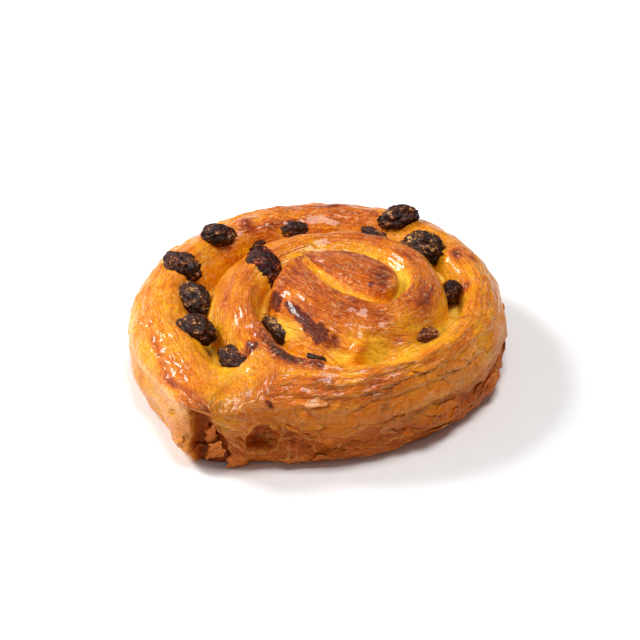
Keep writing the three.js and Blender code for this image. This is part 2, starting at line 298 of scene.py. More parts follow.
@dataclass(frozen=True)
class Grid:
    """How finely the roll is meshed: stations round it, and points across each turn and down the wall."""

    turn: int = 360
    fold: int = 156
    rows: int = 66
    wall_rows: int = 44
    crowding: float = 28.0
    crowded_at: float = 240.0

    @property
    def fan(self) -> int:
        """Columns that turn about the fold's inner end."""
        return self.turn - 2 * self.fold

    def turn_angle(self, roll: Roll, station: Array) -> Array:
        """Works out the turn angles of stations, which stand closer together where the loose end is.

        Args:
            roll: The roll.
            station: Stations, counted from the fold's inner end.

        Returns:
            Each station's turn angle.
        """
        station = np.asarray(station, float)
        plain = (station - self.fold) * 360 / self.turn
        crowd = self.crowding * smooth(clamp01((plain - 150) / 200))
        wound = roll.tip + plain - crowd * np.sin(np.radians(plain + roll.tip - self.crowded_at))
        in_fold = roll.tip - roll.fold_span * (1 - station / self.fold)
        return np.where(station < self.fold, in_fold, wound)

    def last(self, roll: Roll) -> int:
        """Returns the station where the groove meets the rim."""
        stations = np.arange(self.fold, self.fold + 3 * self.turn)
        return int(stations[self.turn_angle(roll, stations) >= roll.exit][0])

    def points(self, roll: Roll, station: Array) -> Array:
        """Lays the stations out: first fold, then spiral, then one round of the rim.

        Args:
            roll: The roll.
            station: Stations.

        Returns:
            Their points in plan.
        """
        station = np.asarray(station, float)
        turn = self.turn_angle(roll, station)
        fold = roll.fold_point(clamp01(station / self.fold))
        inside = (station <= self.last(roll))[..., None]
        spiral = np.where(inside, roll.spiral_point(turn), roll.rim_point(turn))
        return np.where((station < self.fold)[..., None], fold, spiral)

    def floors(self, roll: Roll, station: Array) -> Array:
        """Returns the height of the groove's floor, or of the shoulder on the rim."""
        turn = self.turn_angle(roll, station)
        return np.where(station < self.last(roll), along(roll.floor, turn), roll.shoulder_height(turn))


@dataclass(frozen=True)
class Mark:
    """A place that baked differently: where, how far along and across the roll, and what it did."""

    at: tuple
    size: tuple
    bake: float = 0.0
    burn: float = 0.0
    yellow: float = 0.0
    rise: float = 0.0


MARKS = (
    Mark((-12.6, -8.2), (3.8, 1.8), burn=1.0, rise=0.3),
    Mark((-8.9, -13.0), (2.6, 0.9), burn=0.9),
    Mark((-6.8, -15.6), (3.2, 1.2), burn=1.1, rise=0.2),
    Mark((-4.5, -18.9), (3.6, 1.5), burn=1.1, rise=0.2),
    Mark((-2.2, -22.0), (4.2, 2.1), burn=1.0, rise=0.2),
    Mark((0.4, -24.4), (4.0, 2.2), burn=0.95, rise=0.2),
    Mark((3.2, -26.2), (3, 1.4), burn=0.7),
    Mark((-14.6, -25.6), (6, 2.2), bake=0.34),
    Mark((-10.8, -30.8), (4.6, 2.6), bake=0.44),
    Mark((-5.2, -34.6), (4.6, 2.4), bake=0.48),
    Mark((-19.0, -28.9), (1.2, 2.6), burn=0.9, rise=0.5),
    Mark((-0.8, -36.4), (2.2, 1.5), burn=0.75, rise=0.9),
    # A dent beside a raisin, whose bake darkens the hollow as painted shade.
    Mark((-21.6, -29.4), (1.8, 2.4), bake=0.4, rise=-1.8),
    Mark((-27.6, -5.3), (7, 2.2), bake=0.25),
    Mark((-22.8, 34.9), (2.5, 2.6), bake=0.3, rise=1.8),
    Mark((-15.8, 35.5), (4.0, 2.1), bake=0.32, rise=1.3),
    Mark((-8.6, 37.3), (1.8, 1.4), bake=0.36, rise=0.7),
    Mark((1.5, 45.3), (4, 1.5), bake=0.28),
    Mark((8.6, 45.5), (4, 1.3), bake=0.24),
    Mark((16.2, 40.8), (2, 1.6), bake=0.3),
    Mark((14.6, -6.7), (0.8, 0.8), burn=0.7, rise=0.3),
    Mark((18.9, -4.3), (5, 2), bake=0.25),
    Mark((21.9, -24.6), (3.4, 1.6), bake=0.35),
    Mark((40.6, 19.5), (2.4, 1.6), bake=0.42),
    Mark((45.3, 18.2), (1.4, 1.0), bake=0.42),
    Mark((42.3, 6.1), (3, 2), bake=0.5),
    Mark((40.3, -11.6), (1.0, 1.0), bake=0.42),
    Mark((30.5, -9.9), (6, 2.4), bake=0.3),
    Mark((-13.7, -46.7), (1.4, 0.7), burn=1.0, rise=0.4),
    Mark((11.0, -29.2), (2.2, 1.9), bake=0.25, rise=2.6),
    Mark((14.4, -30.0), (5, 1.6), yellow=0.4),
    Mark((5.6, -30.2), (3, 1.4), yellow=0.5),
    Mark((18.2, -27.8), (3.4, 2.2), yellow=0.3, rise=-1.2),
    Mark((-19.6, -26.8), (1.3, 1.3), bake=0.4, rise=0.6),
    Mark((-45.7, -23.7), (8, 1.0), bake=0.35),
    Mark((-40.5, -38.0), (7, 1.1), bake=0.4),
    Mark((-5.8, 4.2), (5, 1.8), bake=0.2),
    Mark((-9.1, -18.8), (4, 1.6), yellow=0.8),
    Mark((24.3, -0.3), (7, 2.6), yellow=0.7),
    Mark((20.5, -8.0), (6, 2.4), yellow=0.5),
)


def to_mesh(name: str, points: Array, faces: list, material: bpy.types.Material) -> bpy.types.Object:
    """Makes a smooth-shaded mesh object at the origin.

    Args:
        name: The object's name.
        points: Its points in millimetres.
        faces: Its faces, as lists of point numbers.
        material: What it is dressed in.

    Returns:
        The object, linked to the scene.
    """
    mesh = bpy.data.meshes.new(name)
    mesh.from_pydata((points * MM).tolist(), [], faces)
    mesh.polygons.foreach_set("use_smooth", np.ones(len(mesh.polygons), bool))
    mesh.materials.append(material)
    piece = bpy.data.objects.new(name, mesh)
    bpy.context.scene.collection.objects.link(piece)
    return piece


def write_value(mesh: bpy.types.Mesh, name: str, values: Array) -> None:
    """Writes one number for each point of a mesh under a name that materials read."""
    mesh.attributes.new(name, "FLOAT", "POINT").data.foreach_set("value", values.astype(np.float32))


def finish_piece(piece: bpy.types.Object, slot: Slot, *nodes: str) -> None:
    """Ties a piece to the frame: its body and the solids that it stands for.

    Args:
        piece: The piece.
        slot: What it is made of; not used.
        *nodes: The frame's nodes that it stands for, none if it only adds to others.
    """
    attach(piece, BODY)
    if nodes:
        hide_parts(*nodes)
    LOG.info("%s: %d faces", piece.name, len(piece.data.polygons))


@dataclass
class Dough:
    """The rolled dough: its crown wound as one long strip, the side wall and the flat foot.

    The nick and the pocket are placed by turn angle in degrees, and the rest is in millimetres.
    """

    roll: Roll
    grid: Grid
    nick_at: float = 233.6
    nick_over: float = 5.1
    nick_spread: float = 0.36
    nick_depth: float = 4.6
    nick_top: float = 21.8
    pocket_at: float = 252.1
    pocket_height: float = 11.2
    pocket_half: tuple = (4.4, 4.6)
    pocket_depth: float = 3.6
    pocket_collar: float = 1.1

    def __post_init__(self) -> None:
        """Finds where the rim begins and draws the noises that the relief shares."""
        self.last = self.grid.last(self.roll)
        self.noises = [Noise(SEED + k) for k in range(12)]
        self.shift = np.zeros(3)

    def crown(self) -> dict:
        """Works out the crown's points and what the relief and the finish need to know of each.

        Returns:
            Arrays by name, with one row for each column of the strip and one entry for each point across it.
        """
        grid, roll = self.grid, self.roll
        column = np.arange(grid.fold + grid.fan + self.last + 1)[:, None]
        past = np.maximum(0, column - grid.fold - grid.fan)
        inner = np.where(column <= grid.fold, grid.fold - column, past)
        outer = grid.fold + column
        share = ((1 - np.cos(np.pi * np.arange(grid.rows + 1) / grid.rows)) / 2)[None, :]
        a, b = grid.points(roll, inner), grid.points(roll, outer)
        inner_turn, outer_turn = grid.turn_angle(roll, inner), grid.turn_angle(roll, outer)
        width = np.linalg.norm(b - a, axis=-1)
        plan = mix(a, b, share[..., None])
        reach = np.linalg.norm(plan - roll.centre(outer_turn), axis=-1)
        crest = along(roll.dome, reach) + roll.crest_tilt * plan[..., 1]
        floor = mix(grid.floors(roll, inner), grid.floors(roll, outer), smooth(share))

        def bank(distance: Array, turn: Array, part: Array) -> Array:
            """Returns how far up a bank is, from 0 to 1, at distances from its groove's line."""
            gone = clamp01((distance - along(roll.opening, turn)) / np.maximum(part * width, 1e-6))
            return mix(smooth(gone), np.sqrt(1 - (1 - gone) ** 2), along(roll.steepness, turn))

        inside = bank(share * width, inner_turn, roll.inner_bank * along(roll.inner_width, inner_turn))
        outer_bank = roll.outer_bank * along(roll.outer_width, outer_turn)
        as_groove = bank((1 - share) * width, outer_turn, outer_bank)
        as_rim = np.sqrt(1 - clamp01((share - roll.outer_bank) / (1 - roll.outer_bank)) ** 2)
        rim = step(0, 18, outer - self.last)
        outside = mix(as_groove, as_rim, rim)
        lift = inside * outside * smooth(clamp01(width / (roll.pitch * 0.45)))
        height = floor + (crest - floor) * lift
        near_in = share * width - along(roll.opening, inner_turn)
        near_out = mix((1 - share) * width - along(roll.opening, outer_turn), 99.0, rim)
        across = share * mix(width, roll.pitch, rim)
        middle = plan[:, grid.rows // 2]
        length = np.concatenate([[0], np.cumsum(np.linalg.norm(np.diff(middle, axis=0), axis=1))])[:, None]
        return {
            "inner": inner,
            "outer": outer,
            "points": np.dstack([plan, height]),
            "lift": inside * outside,
            "inside": inside,
            "lobe": (column <= grid.fold) + 0 * share,
            "rim": rim + 0 * share,
            "share": share + 0 * column,
            "edge": np.minimum(near_in, near_out),
            "across": across,
            "along": length + 0 * share,
            "turn": inner_turn + 0 * share,
        }

    def wall(self, crown: dict) -> dict:
        """Works out the side wall's points, from the shoulder down to the foot.

        Args:
            crown: The crown's arrays.

        Returns:
            The wall's arrays by name, with one row for each column of points down it.
        """
        grid, roll = self.grid, self.roll
        station = self.last + np.arange(2 * grid.turn + 1)[:, None] / 2
        turn = grid.turn_angle(roll, station)
        down = (np.arange(grid.wall_rows + 1) / grid.wall_rows)[None, :]
        height = roll.shoulder_height(turn) * (1 - down)
        low = clamp01(1 - height / roll.foot_rise)
        inset = roll.foot_inset * (1 - np.sqrt(1 - low**2))
        plan = roll.rim_point(turn + 0 * down, inset - roll.crag(turn, height))
        column = station[:, 0] - grid.fold
        length = np.interp(column, np.arange(len(crown["along"])), crown["along"][:, 0])[:, None]
        return {
            "points": np.dstack([plan, height]),
            "turn": turn + 0 * down,
            "along": length + 0 * down,
            "across": roll.pitch + roll.shoulder_height(turn) * down,
        }

    def ledges(self, u: Array, v: Array, gap: float, sway: float) -> tuple:
        """Works out torn layer ends that run along the roll.

        Args:
            u: Distance along the roll.
            v: Distance across it.
            gap: Distance from one layer's end to the next.
            sway: How far the ends stray, in gaps.

        Returns:
            The relief, from 0 to 1, and how near each point is to a layer's torn end, from 0 to 1.
        """
        bends = sway * self.noises[0].at(u / 21, v / 7) + 0.32 * self.noises[1].at(u / 5, v / 2.6)
        t = v / gap + bends
        part = t - np.floor(t)
        return part - step(0.82, 0.97, part), bump(part, 0.83, 0.1)

    def strands(self, u: Array, v: Array) -> Array:
        """Works out threads of skin that are drawn out along the roll.

        Args:
            u: Distance along the roll.
            v: Distance across it.

        Returns:
            The threads' relief, between about -1 and 1.
        """
        v = v + 0.9 * self.noises[3].at(u / 24, v / 5)
        wide = 1 - 2.2 * np.abs(self.noises[5].at(u / 16, v / 2.3))
        middling = 1 - 2.2 * np.abs(self.noises[6].at(u / 9, v / 1.25))
        return 0.55 * wide + 0.45 * middling

    def side_relief(self, u: Array, v: Array, points: Array, turn: Array) -> tuple:
        """Works out the relief of the side: slow dents, torn layers and rough plates.

        Args:
            u: Distance along the roll.
            v: Distance across it.
            points: The places themselves.
            turn: Their turn angle.

        Returns:
            The relief in millimetres, and how near each point is to a torn end, from 0 to 1.
        """
        x, y, z = np.moveaxis(points, -1, 0)
        noises = self.noises
        swell = 0.6 * noises[2].at(x / 9, y / 9, z / 9) + 0.3 * noises[2].at(x / 3.6, y / 3.6, z / 3.6)
        front = np.maximum(bump(turned_from(295, turn), 0, 60), 0.45)
        above, above_ends = self.ledges(u, v, 2.7, 0.9)
        below, below_ends = self.ledges(u + 90, v, 4.6, 1.5)
        high = step(self.roll.pitch + 5, self.roll.pitch - 2, v)
        shown = mix(1.15 * below - 0.4, front * (1.0 * above - 0.35), high)
        rough = 0.2 * noises[11].at(u / 1.6, v / 1.0) + 0.25 * np.abs(noises[9].at(u / 3.1, v / 2.1))
        return swell + shown + rough, mix(below_ends, above_ends * front, high)

    def crown_relief(self, c: dict) -> None:
        """Adds the crown's strands, layers, cracks and finish values to its arrays.

        Args:
            c: The crown's arrays.
        """
        u, v, points, turn = c["along"], c["across"], c["points"], c["turn"]
        noises = self.noises
        x, y, z = np.moveaxis(points, -1, 0)
        end = self.roll.rim_point(np.array(self.roll.exit))
        calm = bump(np.hypot(x - end[0], y - end[1]), 0, 11)
        free = np.maximum(step(-0.2, 1.8, c["edge"]), calm)
        swell = 0.5 * noises[2].at(x / 10, y / 10, z / 10) + 0.22 * noises[2].at(x / 4, y / 4, z / 4)
        patchy = 0.4 + 0.6 * step(-0.35, 0.45, noises[4].at(u / 15, v / 6))
        threads = patchy * 0.34 * self.strands(u, v) * (1 - calm)
        crumpled = 0.3 * noises[8].at(x / 2.2, y / 2.2) + 0.2 * np.abs(noises[7].at(x / 1.1, y / 1.1))
        front = np.maximum(bump(turned_from(295, turn), 0, 60), 0.35)
        line = np.abs(noises[7].at(u / 30, v / 2.9))
        cracked = step(0.05, 0.0, line) * step(0.0, 0.3, noises[8].at(u / 12, v / 5)) * c["rim"] * front
        on_top = swell + threads + crumpled * (0.25 + 0.75 * calm) - 0.55 * cracked
        on_side, torn = self.side_relief(u, v, points, turn)
        weight = c["rim"] * step(5.0, 13.0, v) * (1 - 0.7 * calm)
        c["relief"] = mix(on_top, on_side, weight) * free
        c["torn"] = np.maximum(torn * weight, 0.4 * cracked)
        c["crack"] = cracked
        c["strand"] = 1 - calm
        c["hollow"] = 0 * v
        c["side"] = c["rim"] * step(12.0, 18.5, self.strayed(u, v)) * 0.6
        # On the smooth left the side takes the crown's brighter colour, as painted light for the light from
        # the left.
        c["side"] = c["side"] * (1 - 0.8 * self.smooth_lit_left(turn))
        c["brown"] = self.browning(c) + 0.24 * calm * (1 - c["lift"])
        whole_left = bump(turned_from(205, turn), 0, 42)
        c["flaky"] = c["rim"] * 0.55 * step(10, 16, v) * front * (1 - whole_left)

    def wall_relief(self, w: dict) -> None:
        """Adds the wall's relief, the torn nick, the air pocket and finish values to its arrays.

        Args:
            w: The wall's arrays.
        """
        u, v, turn = w["along"], w["across"], w["turn"]
        noises = self.noises
        z = w["points"][..., 2]
        relief, torn = self.side_relief(u, v, w["points"], turn)
        crumple = bump(turned_from(260, turn), 0, 3.6)
        crumpled = crumple * noises[6].at(u / 1.5, v / 9 + 0.5 * noises[5].at(u / 4, v / 4))
        relief = relief + 1.6 * crumpled
        nick = self.nick(turn, z)
        pocket, collar = self.pocket(turn, z)
        relief = relief * (1 - 0.6 * np.maximum(step(0, 1, nick), step(0, 1, pocket)))
        smooth_lit_left = self.smooth_lit_left(turn)
        relief = relief * (1 - 0.5 * smooth_lit_left)
        w["relief"] = (relief + collar) * step(0.0, 2.0, z) - (nick + pocket) * step(0.0, 0.8, z)
        ends = np.maximum(0.8 * collar, step(0.25, 0.6, crumpled))
        w["torn"] = np.maximum(torn * (1 - clamp01(nick)), ends)
        # Painted shade: the nick, and the left part of the air pocket, are darkened in colour where shade
        # falls in them.
        shaded = step(253.5, 249, turn % 360)
        w["hollow"] = clamp01(np.maximum(nick / 3.6, 0.8 * pocket / 3.4 * shaded))
        strayed = self.strayed(u, v)
        w["side"] = 0.6 * step(12.0, 18.5, strayed) + 0.4 * step(18.5, 24.0, strayed)
        # On the smooth left the wall takes the crown's brighter colour, as painted light for the light from
        # the left.
        w["side"] = w["side"] * (1 - 0.8 * smooth_lit_left)
        face = step(239, 243, turn % 360) * step(249, 246, turn % 360) * step(7, 11, z)
        w["side"] = np.maximum(w["side"] * (1 - 0.6 * face), step(0.2, 1.0, nick))
        w["crack"] = 0 * v
        w["strand"] = 0 * v + 0.6
        front = bump(turned_from(285, turn), 0, 70)
        back = bump(turned_from(95, turn), 0, 38)
        seam = bump(turned_from(254, turn), 0, 24)
        settled = step(self.roll.pitch - 1, self.roll.pitch + 8, strayed)
        # The smooth left is made less brown, as painted light for the light from the left.
        w["brown"] = mix(0.2 + 0.15 * front + 0.12 * seam + 0.14 * back, 0.5 - 0.17 * smooth_lit_left, settled)
        corner = bump(turned_from(240, turn), 0, 13)
        w["flaky"] = step(1.6, 3.5, z) * (1 - corner) * (1 - 0.9 * smooth_lit_left)

    def strayed(self, u: Array, v: Array) -> Array:
        """Returns the distance across the roll, made to stray so that nothing ends on a straight line."""
        return v + 2.2 * self.noises[9].at(u / 9, v / 8)

    def smooth_lit_left(self, turn: Array) -> Array:
        """Returns how far the side is the smooth sheet of the roll's left, from 0 to 1; there its colour is
        also made brighter as painted light for the light from the left.
        """
        angle = turn % 360
        return np.maximum(bump(turned_from(198, turn), 0, 30), step(180, 195, angle) * step(236, 233, angle))

    def nick(self, turn: Array, z: Array) -> Array:
        """Works out the torn nick, which is sheer at the loose end's edge and slopes away to the right.

        Args:
            turn: Turn angles.
            z: Heights.

        Returns:
            How deep the nick is at each place.
        """
        start = self.nick_at + 0.25 * self.noises[7].at(z / 3.0, 0.5)
        wider = self.nick_spread * (self.nick_top - z)
        over = self.nick_over + wider + 0.5 * self.noises[8].at(z / 2.2, 0.5)
        share = turned_from(0, turn - start) / over
        folds = 0.9 * self.noises[10].at(share * 4.5, z / 9) + 0.4 * self.noises[9].at(share * 11, z / 4)
        depth = self.nick_depth * (1 - 0.5 * share) + folds
        shown = step(-0.02, 0.06, share) * step(1.0, 0.92, share)
        return np.maximum(depth, 0.6) * shown * step(21.6, 19.0, z + 1.2 * share)

    def pocket(self, turn: Array, z: Array) -> tuple:
        """Works out the burst air pocket.

        Args:
            turn: Turn angles.
            z: Heights.

        Returns:
            How deep the pocket is, and how high its torn lip stands.
        """
        sideways = np.radians(turned_from(self.pocket_at, turn)) * self.roll.rim_radius(turn)
        ragged = 0.09 * self.noises[9].at(sideways / 1.6, z / 1.6)
        up = (z - self.pocket_height) / self.pocket_half[1]
        far = np.sqrt((sideways / self.pocket_half[0]) ** 2 + up**2) + ragged
        shallower = 1 - 0.28 * clamp01(sideways / 4 + 0.3)
        depth = self.pocket_depth * np.sqrt(np.clip(1 - far**2, 0, 1)) * shallower
        return depth, self.pocket_collar * bump(far, 1.08, 0.1)

    def gather(self, crown: dict, wall: dict) -> tuple:
        """Joins the crown and the wall into one closed surface with shared points.

        Args:
            crown: The crown's arrays.
            wall: The wall's arrays.

        Returns:
            The points' numbers on the crown, on the rim, on the wall below it and under the middle, the faces,
            and the roll coordinates of each face's corners.
        """
        grid = self.grid
        columns, across = crown["points"].shape[0], grid.rows + 1
        stations = self.last + grid.turn
        inner, outer = crown["inner"][:, 0], crown["outer"][:, 0]

        def wrapped(station: Array) -> Array:
            """Returns the stations with the rim's last one taken back to its first."""
            return np.where(station == stations, self.last, station)

        number = np.full((columns, across), -1)
        number[:, 0] = inner
        number[:, -1] = wrapped(outer)
        closed = (inner == outer) | (inner == self.last)
        number[closed] = inner[closed][:, None]
        open_columns = np.flatnonzero(~closed)
        count = stations + len(open_columns) * (across - 2)
        number[open_columns, 1:-1] = np.arange(stations, count).reshape(len(open_columns), -1)
        around = np.arange(2 * grid.turn + 1) % (2 * grid.turn)
        below = count + around[:, None] * grid.wall_rows + np.arange(grid.wall_rows)[None, :]
        rim = wrapped(np.arange(self.last, stations + 1))
        centre = count + 2 * grid.turn * grid.wall_rows

        def corners_of(n: Array) -> Array:
            """Returns the four corners of each cell of a grid, in order round it."""
            return np.stack([n[:-1, :-1], n[:-1, 1:], n[1:, 1:], n[1:, :-1]], -1).reshape(-1, 4)

        def quads(n: Array, u: Array, v: Array) -> tuple:
            """Returns a grid's faces, and the roll coordinates of each face's corners."""
            return corners_of(n), np.stack([corners_of(u), corners_of(v)], -1)

        lower = [wall[name][:, 1:] for name in ("along", "across")]
        parts = [quads(number, crown["along"], crown["across"]), quads(below, *lower)]
        corners = np.concatenate([p[0] for p in parts])
        rolled = np.concatenate([p[1] for p in parts])
        faces, places = [], []
        for face, place in zip(corners.tolist(), rolled.tolist()):
            kept = [k for k in range(4) if face[k] != face[k - 1]]
            if len(kept) > 2:
                faces.append([face[k] for k in kept])
                places.extend(place[k] for k in kept)
        for k in range(grid.turn):
            faces.append([rim[k], *below[2 * k : 2 * k + 3, 0], rim[k + 1]])
            upper = [[wall["along"][m, 0], wall["across"][m, 0]] for m in (2 * k, 2 * k + 2)]
            lower = [[wall["along"][m, 1], wall["across"][m, 1]] for m in range(2 * k, 2 * k + 3)]
            places.extend([upper[0], *lower, upper[1]])
        ring = below[:, -1].tolist()
        for here, ahead in zip(ring, ring[1:]):
            faces.append([here, centre, ahead])
            places.extend([[0.0, 0.0]] * 3)
        return number, rim, below, centre, faces, np.array(places)

    def build(self, material: bpy.types.Material) -> bpy.types.Object:
        """Makes the dough's mesh with its relief and the values that its finish reads.

        Args:
            material: The baked crust.

        Returns:
            The finished piece.
        """
        crown = self.crown()
        wall = self.wall(crown)
        self.crown_relief(crown)
        self.wall_relief(wall)
        number, rim, below, centre, faces, places = self.gather(crown, wall)
        values = {}
        for part in (crown, wall):
            part.update({axis: part["points"][..., k] for k, axis in enumerate("xyz")})
        for name in ("x", "y", "z", "relief", "torn", "hollow", "side", "crack", "brown", "strand", "flaky"):
            value = np.zeros(centre + 1)
            value[below] = wall[name][:, 1:]
            value[rim] = wall[name][::2, 0]
            value[number] = crown[name]
            values[name] = value
        points = np.column_stack([values.pop(axis) for axis in "xyz"])
        low, high = points.min(axis=0), points.max(axis=0)
        self.shift = np.array([-(low[0] + high[0]) / 2, -(low[1] + high[1]) / 2, 0.0])
        values.update(self.marks(points))
        relief = values.pop("relief") + values.pop("rise")
        normals = self.normals(points, faces)
        moved = points + normals * relief[:, None]
        moved[:, 2] = np.maximum(moved[:, 2], 0)
        foot = np.append(below[:-1, -1], centre)
        moved[foot] = points[foot]
        piece = to_mesh("danish_dough", moved + self.shift, faces, material)
        for name, value in values.items():
            write_value(piece.data, name, value)
        rolled = piece.data.attributes.new("roll", "FLOAT_VECTOR", "CORNER")
        flat = np.column_stack([places, np.zeros(len(places))])
        rolled.data.foreach_set("vector", flat.astype(np.float32).ravel())
        return piece

    def browning(self, crown: dict) -> Array:
        """Works out how the crown browned, before the marks and the streaks.

        Args:
            crown: The crown's arrays.

        Returns:
            How brown each point is.
        """
        z, turn = crown["points"][..., 2], crown["turn"]
        crest = crown["lift"] ** 1.6
        brown = 0.2 + 0.2 * crest + 0.26 * crest * clamp01((z - 27) / 6)
        front = bump(turned_from(285, turn), 0, 70)
        seam = bump(turned_from(254, turn), 0, 24)
        upper = crown["rim"] * step(7, 13, crown["across"])
        brown = brown + (0.15 * front + 0.12 * seam) * upper
        back = bump(turned_from(95, turn), 0, 38)
        brown = brown + 0.14 * crown["rim"] * back
        flank = step(0.5, 0.75, crown["share"]) * step(140, 170, turn) * step(280, 240, turn)
        brown = brown + 0.1 * flank * (1 - crown["rim"])
        lip = crown["inside"] * step(0.55, 0.15, crown["share"]) * (1 - crown["rim"])
        near_fold = step(640, 560, turn) * step(470, 500, turn)
        lobe = crown["lobe"] * step(0.1, 0.55, crown["lift"]) * (0.46 - 0.46 * crest)
        return brown + 0.06 * lip * near_fold + lobe

    def marks(self, points: Array) -> dict:
        """Works out what the marks do.

        Args:
            points: The dough's points.

        Returns:
            The extra browning, burning, yellow and height at each point.
        """
        core = np.array(self.roll.core_centre)
        away = points[:, :2] - core
        radius = np.linalg.norm(away, axis=1)
        angle = np.degrees(np.arctan2(away[:, 1], away[:, 0]))
        ragged = 0.36 * self.noises[4].at(*(points / 1.9).T) + 0.24 * self.noises[5].at(*(points / 0.8).T)
        found = {name: np.zeros(len(points)) for name in ("bake", "burn", "yellow", "rise")}
        top = step(14, 18, points[:, 2])
        for mark in MARKS:
            reach = np.array(mark.at) - core
            far = float(np.linalg.norm(reach))
            turned = np.radians(turned_from(math.degrees(math.atan2(reach[1], reach[0])), angle))
            along_it = turned * (far + radius) / 2 / mark.size[0]
            across_it = (radius - far) / mark.size[1]
            distance = np.sqrt(along_it**2 + across_it**2)
            soft = np.exp(-(distance**2)) * top
            sharp = step(1.25, 0.55, distance + ragged) * top
            found["bake"] += mark.bake * soft
            found["burn"] = np.maximum(found["burn"], mark.burn * sharp)
            found["yellow"] = np.maximum(found["yellow"], mark.yellow * soft)
            found["rise"] += mark.rise * soft
        return found

    def normals(self, points: Array, faces: list) -> Array:
        """Works out which way the surface faces.

        Args:
            points: The dough's points.
            faces: Its faces.

        Returns:
            Each point's outward direction, from the faces round it.
        """
        triangles = np.array([[f[0], f[k], f[k + 1]] for f in faces for k in range(1, len(f) - 1)])
        a, b, c = (points[triangles[:, k]] for k in range(3))
        facing = np.cross(b - a, c - a)
        total = np.zeros_like(points)
        for k in range(3):
            np.add.at(total, triangles[:, k], facing)
        return total / np.maximum(np.linalg.norm(total, axis=1, keepdims=True), 1e-12)


@dataclass
class Custard:
    """The custard that shows on the floor of the groove."""

    roll: Roll
    begins: float = 505
    ends: float = 941
    tapers: float = 6
    stations: int = 900
    across: int = 13
    depth: float = 3.2

    def build(self, shift: Array, material: bpy.types.Material) -> bpy.types.Object:
        """Makes the custard as one long closed strip with a lumpy top.

        Args:
            shift: From the roll's own plan to the frame.
            material: The baked custard.

        Returns:
            The finished piece.
        """
        roll = self.roll
        turn = np.linspace(self.begins, self.ends, self.stations)[:, None]
        line = roll.spiral_point(turn[:, 0])
        ahead = np.gradient(line, axis=0)
        side = np.column_stack([ahead[:, 1], -ahead[:, 0]])
        side = side / np.linalg.norm(side, axis=1, keepdims=True)
        half = along(roll.opening, turn) + roll.custard_half * 0.6
        ends = clamp01((turn - self.begins) / self.tapers) * clamp01((self.ends - turn) / self.tapers)
        ends = np.sqrt(ends)
        half = np.maximum(half * ends, 0.15)
        share = np.linspace(-1, 1, self.across)[None, :]
        lump = Noise(SEED + 40)
        length = np.concatenate([[0], np.cumsum(np.linalg.norm(np.diff(line, axis=0), axis=1))])[:, None]
        top = along(roll.floor, turn) + along(roll.custard_lift, turn)
        top = top + 0.55 * lump.at(length / 3.2, share * half / 1.8)
        top = top + 0.2 * lump.at(length / 1.1, share * half / 0.9)
        top = top - 1.0 * share**4
        plan = line[:, None, :] + side[:, None, :] * (share * half)[..., None]
        upper = np.dstack([plan, top])
        lower = upper - np.array([0, 0, self.depth])
        points = np.concatenate([upper, lower[:, ::-1]], axis=1)
        round_it = points.shape[1]
        number = np.arange(points.shape[0] * round_it).reshape(-1, round_it)
        faces = []
        for k in range(round_it):
            n = (k + 1) % round_it
            sides = [number[:-1, k], number[1:, k], number[1:, n], number[:-1, n]]
            faces.extend(np.stack(sides, -1).tolist())
        faces.append(number[0].tolist())
        faces.append(number[-1, ::-1].tolist())
        faces = [face[::-1] for face in faces]
        return to_mesh("danish_custard", points.reshape(-1, 3) + shift, faces, material)


class Tree:
    """A Geometry Nodes tree under construction."""

    def __init__(self, name: str, sizes: dict) -> None:
        """Starts a tree with a geometry input, named number inputs and one geometry output.

        Args:
            name: The tree's name.
            sizes: Its number inputs, as name to default.
        """
        self.group = bpy.data.node_groups.new(name, "GeometryNodeTree")
        self.group.interface.new_socket("Geometry", in_out="INPUT", socket_type="NodeSocketGeometry")
        self.group.interface.new_socket("Geometry", in_out="OUTPUT", socket_type="NodeSocketGeometry")
        for key, value in sizes.items():
            socket = self.group.interface.new_socket(key, in_out="INPUT", socket_type="NodeSocketFloat")
            socket.default_value = value
        self.group.interface.new_socket("Material", in_out="INPUT", socket_type="NodeSocketMaterial")
        self.given = self.group.nodes.new("NodeGroupInput")

    def size(self, name: str) -> bpy.types.NodeSocket:
        """Returns the tree's input of that name, to link from."""
        return self.given.outputs[name]

    def node(self, kind: str, inputs: dict | None = None, **settings: object) -> bpy.types.Node:
        """Adds a node to the tree."""
        return add(self.group, kind, inputs, **settings)

    def close(self, last: bpy.types.Node) -> None:
        """Ends the tree with its instances made real and the material set.

        Args:
            last: The node that gives what the tree has made.
        """
        real = add(self.group, "GeometryNodeRealizeInstances", {"Geometry": last})
        inputs = {"Geometry": real.outputs["Geometry"], "Material": self.size("Material")}
        dressed = add(self.group, "GeometryNodeSetMaterial", inputs)
        add(self.group, "NodeGroupOutput", {"Geometry": dressed.outputs["Geometry"]})

    def grow(self, name: str, base: bpy.types.Object, values: dict) -> bpy.types.Mesh:
        """Runs the tree on an object.

        Args:
            name: The new mesh's name.
            base: The object.
            values: Values for the tree's inputs, by name.

        Returns:
            The plain mesh that the tree makes.
        """
        modifier = base.modifiers.new(name, "NODES")
        modifier.node_group = self.group
        for item in self.group.interface.items_tree:
            if item.in_out == "INPUT" and item.name in values:
                modifier[item.identifier] = values[item.name]
        seen = base.evaluated_get(bpy.context.evaluated_depsgraph_get())
        mesh = bpy.data.meshes.new_from_object(seen)
        base.modifiers.remove(modifier)
        mesh.name = name
        return mesh


def add(
    tree: bpy.types.NodeTree, kind: str, inputs: dict | None = None, **settings: object
) -> bpy.types.Node:
    """Adds a node to a tree.

    Args:
        tree: The node tree.
        kind: The node's type.
        inputs: Values, or sockets to link, by input name or number. A node stands for its first output.
        **settings: The node's own settings.

    Returns:
        The node.
    """
    node = tree.nodes.new(kind)
    for key, value in settings.items():
        setattr(node, key, value)
    for key, value in (inputs or {}).items():
        if isinstance(value, bpy.types.Node):
            tree.links.new(value.outputs[0], node.inputs[key])
        elif isinstance(value, bpy.types.NodeSocket):
            tree.links.new(value, node.inputs[key])
        else:
            node.inputs[key].default_value = value
    return node


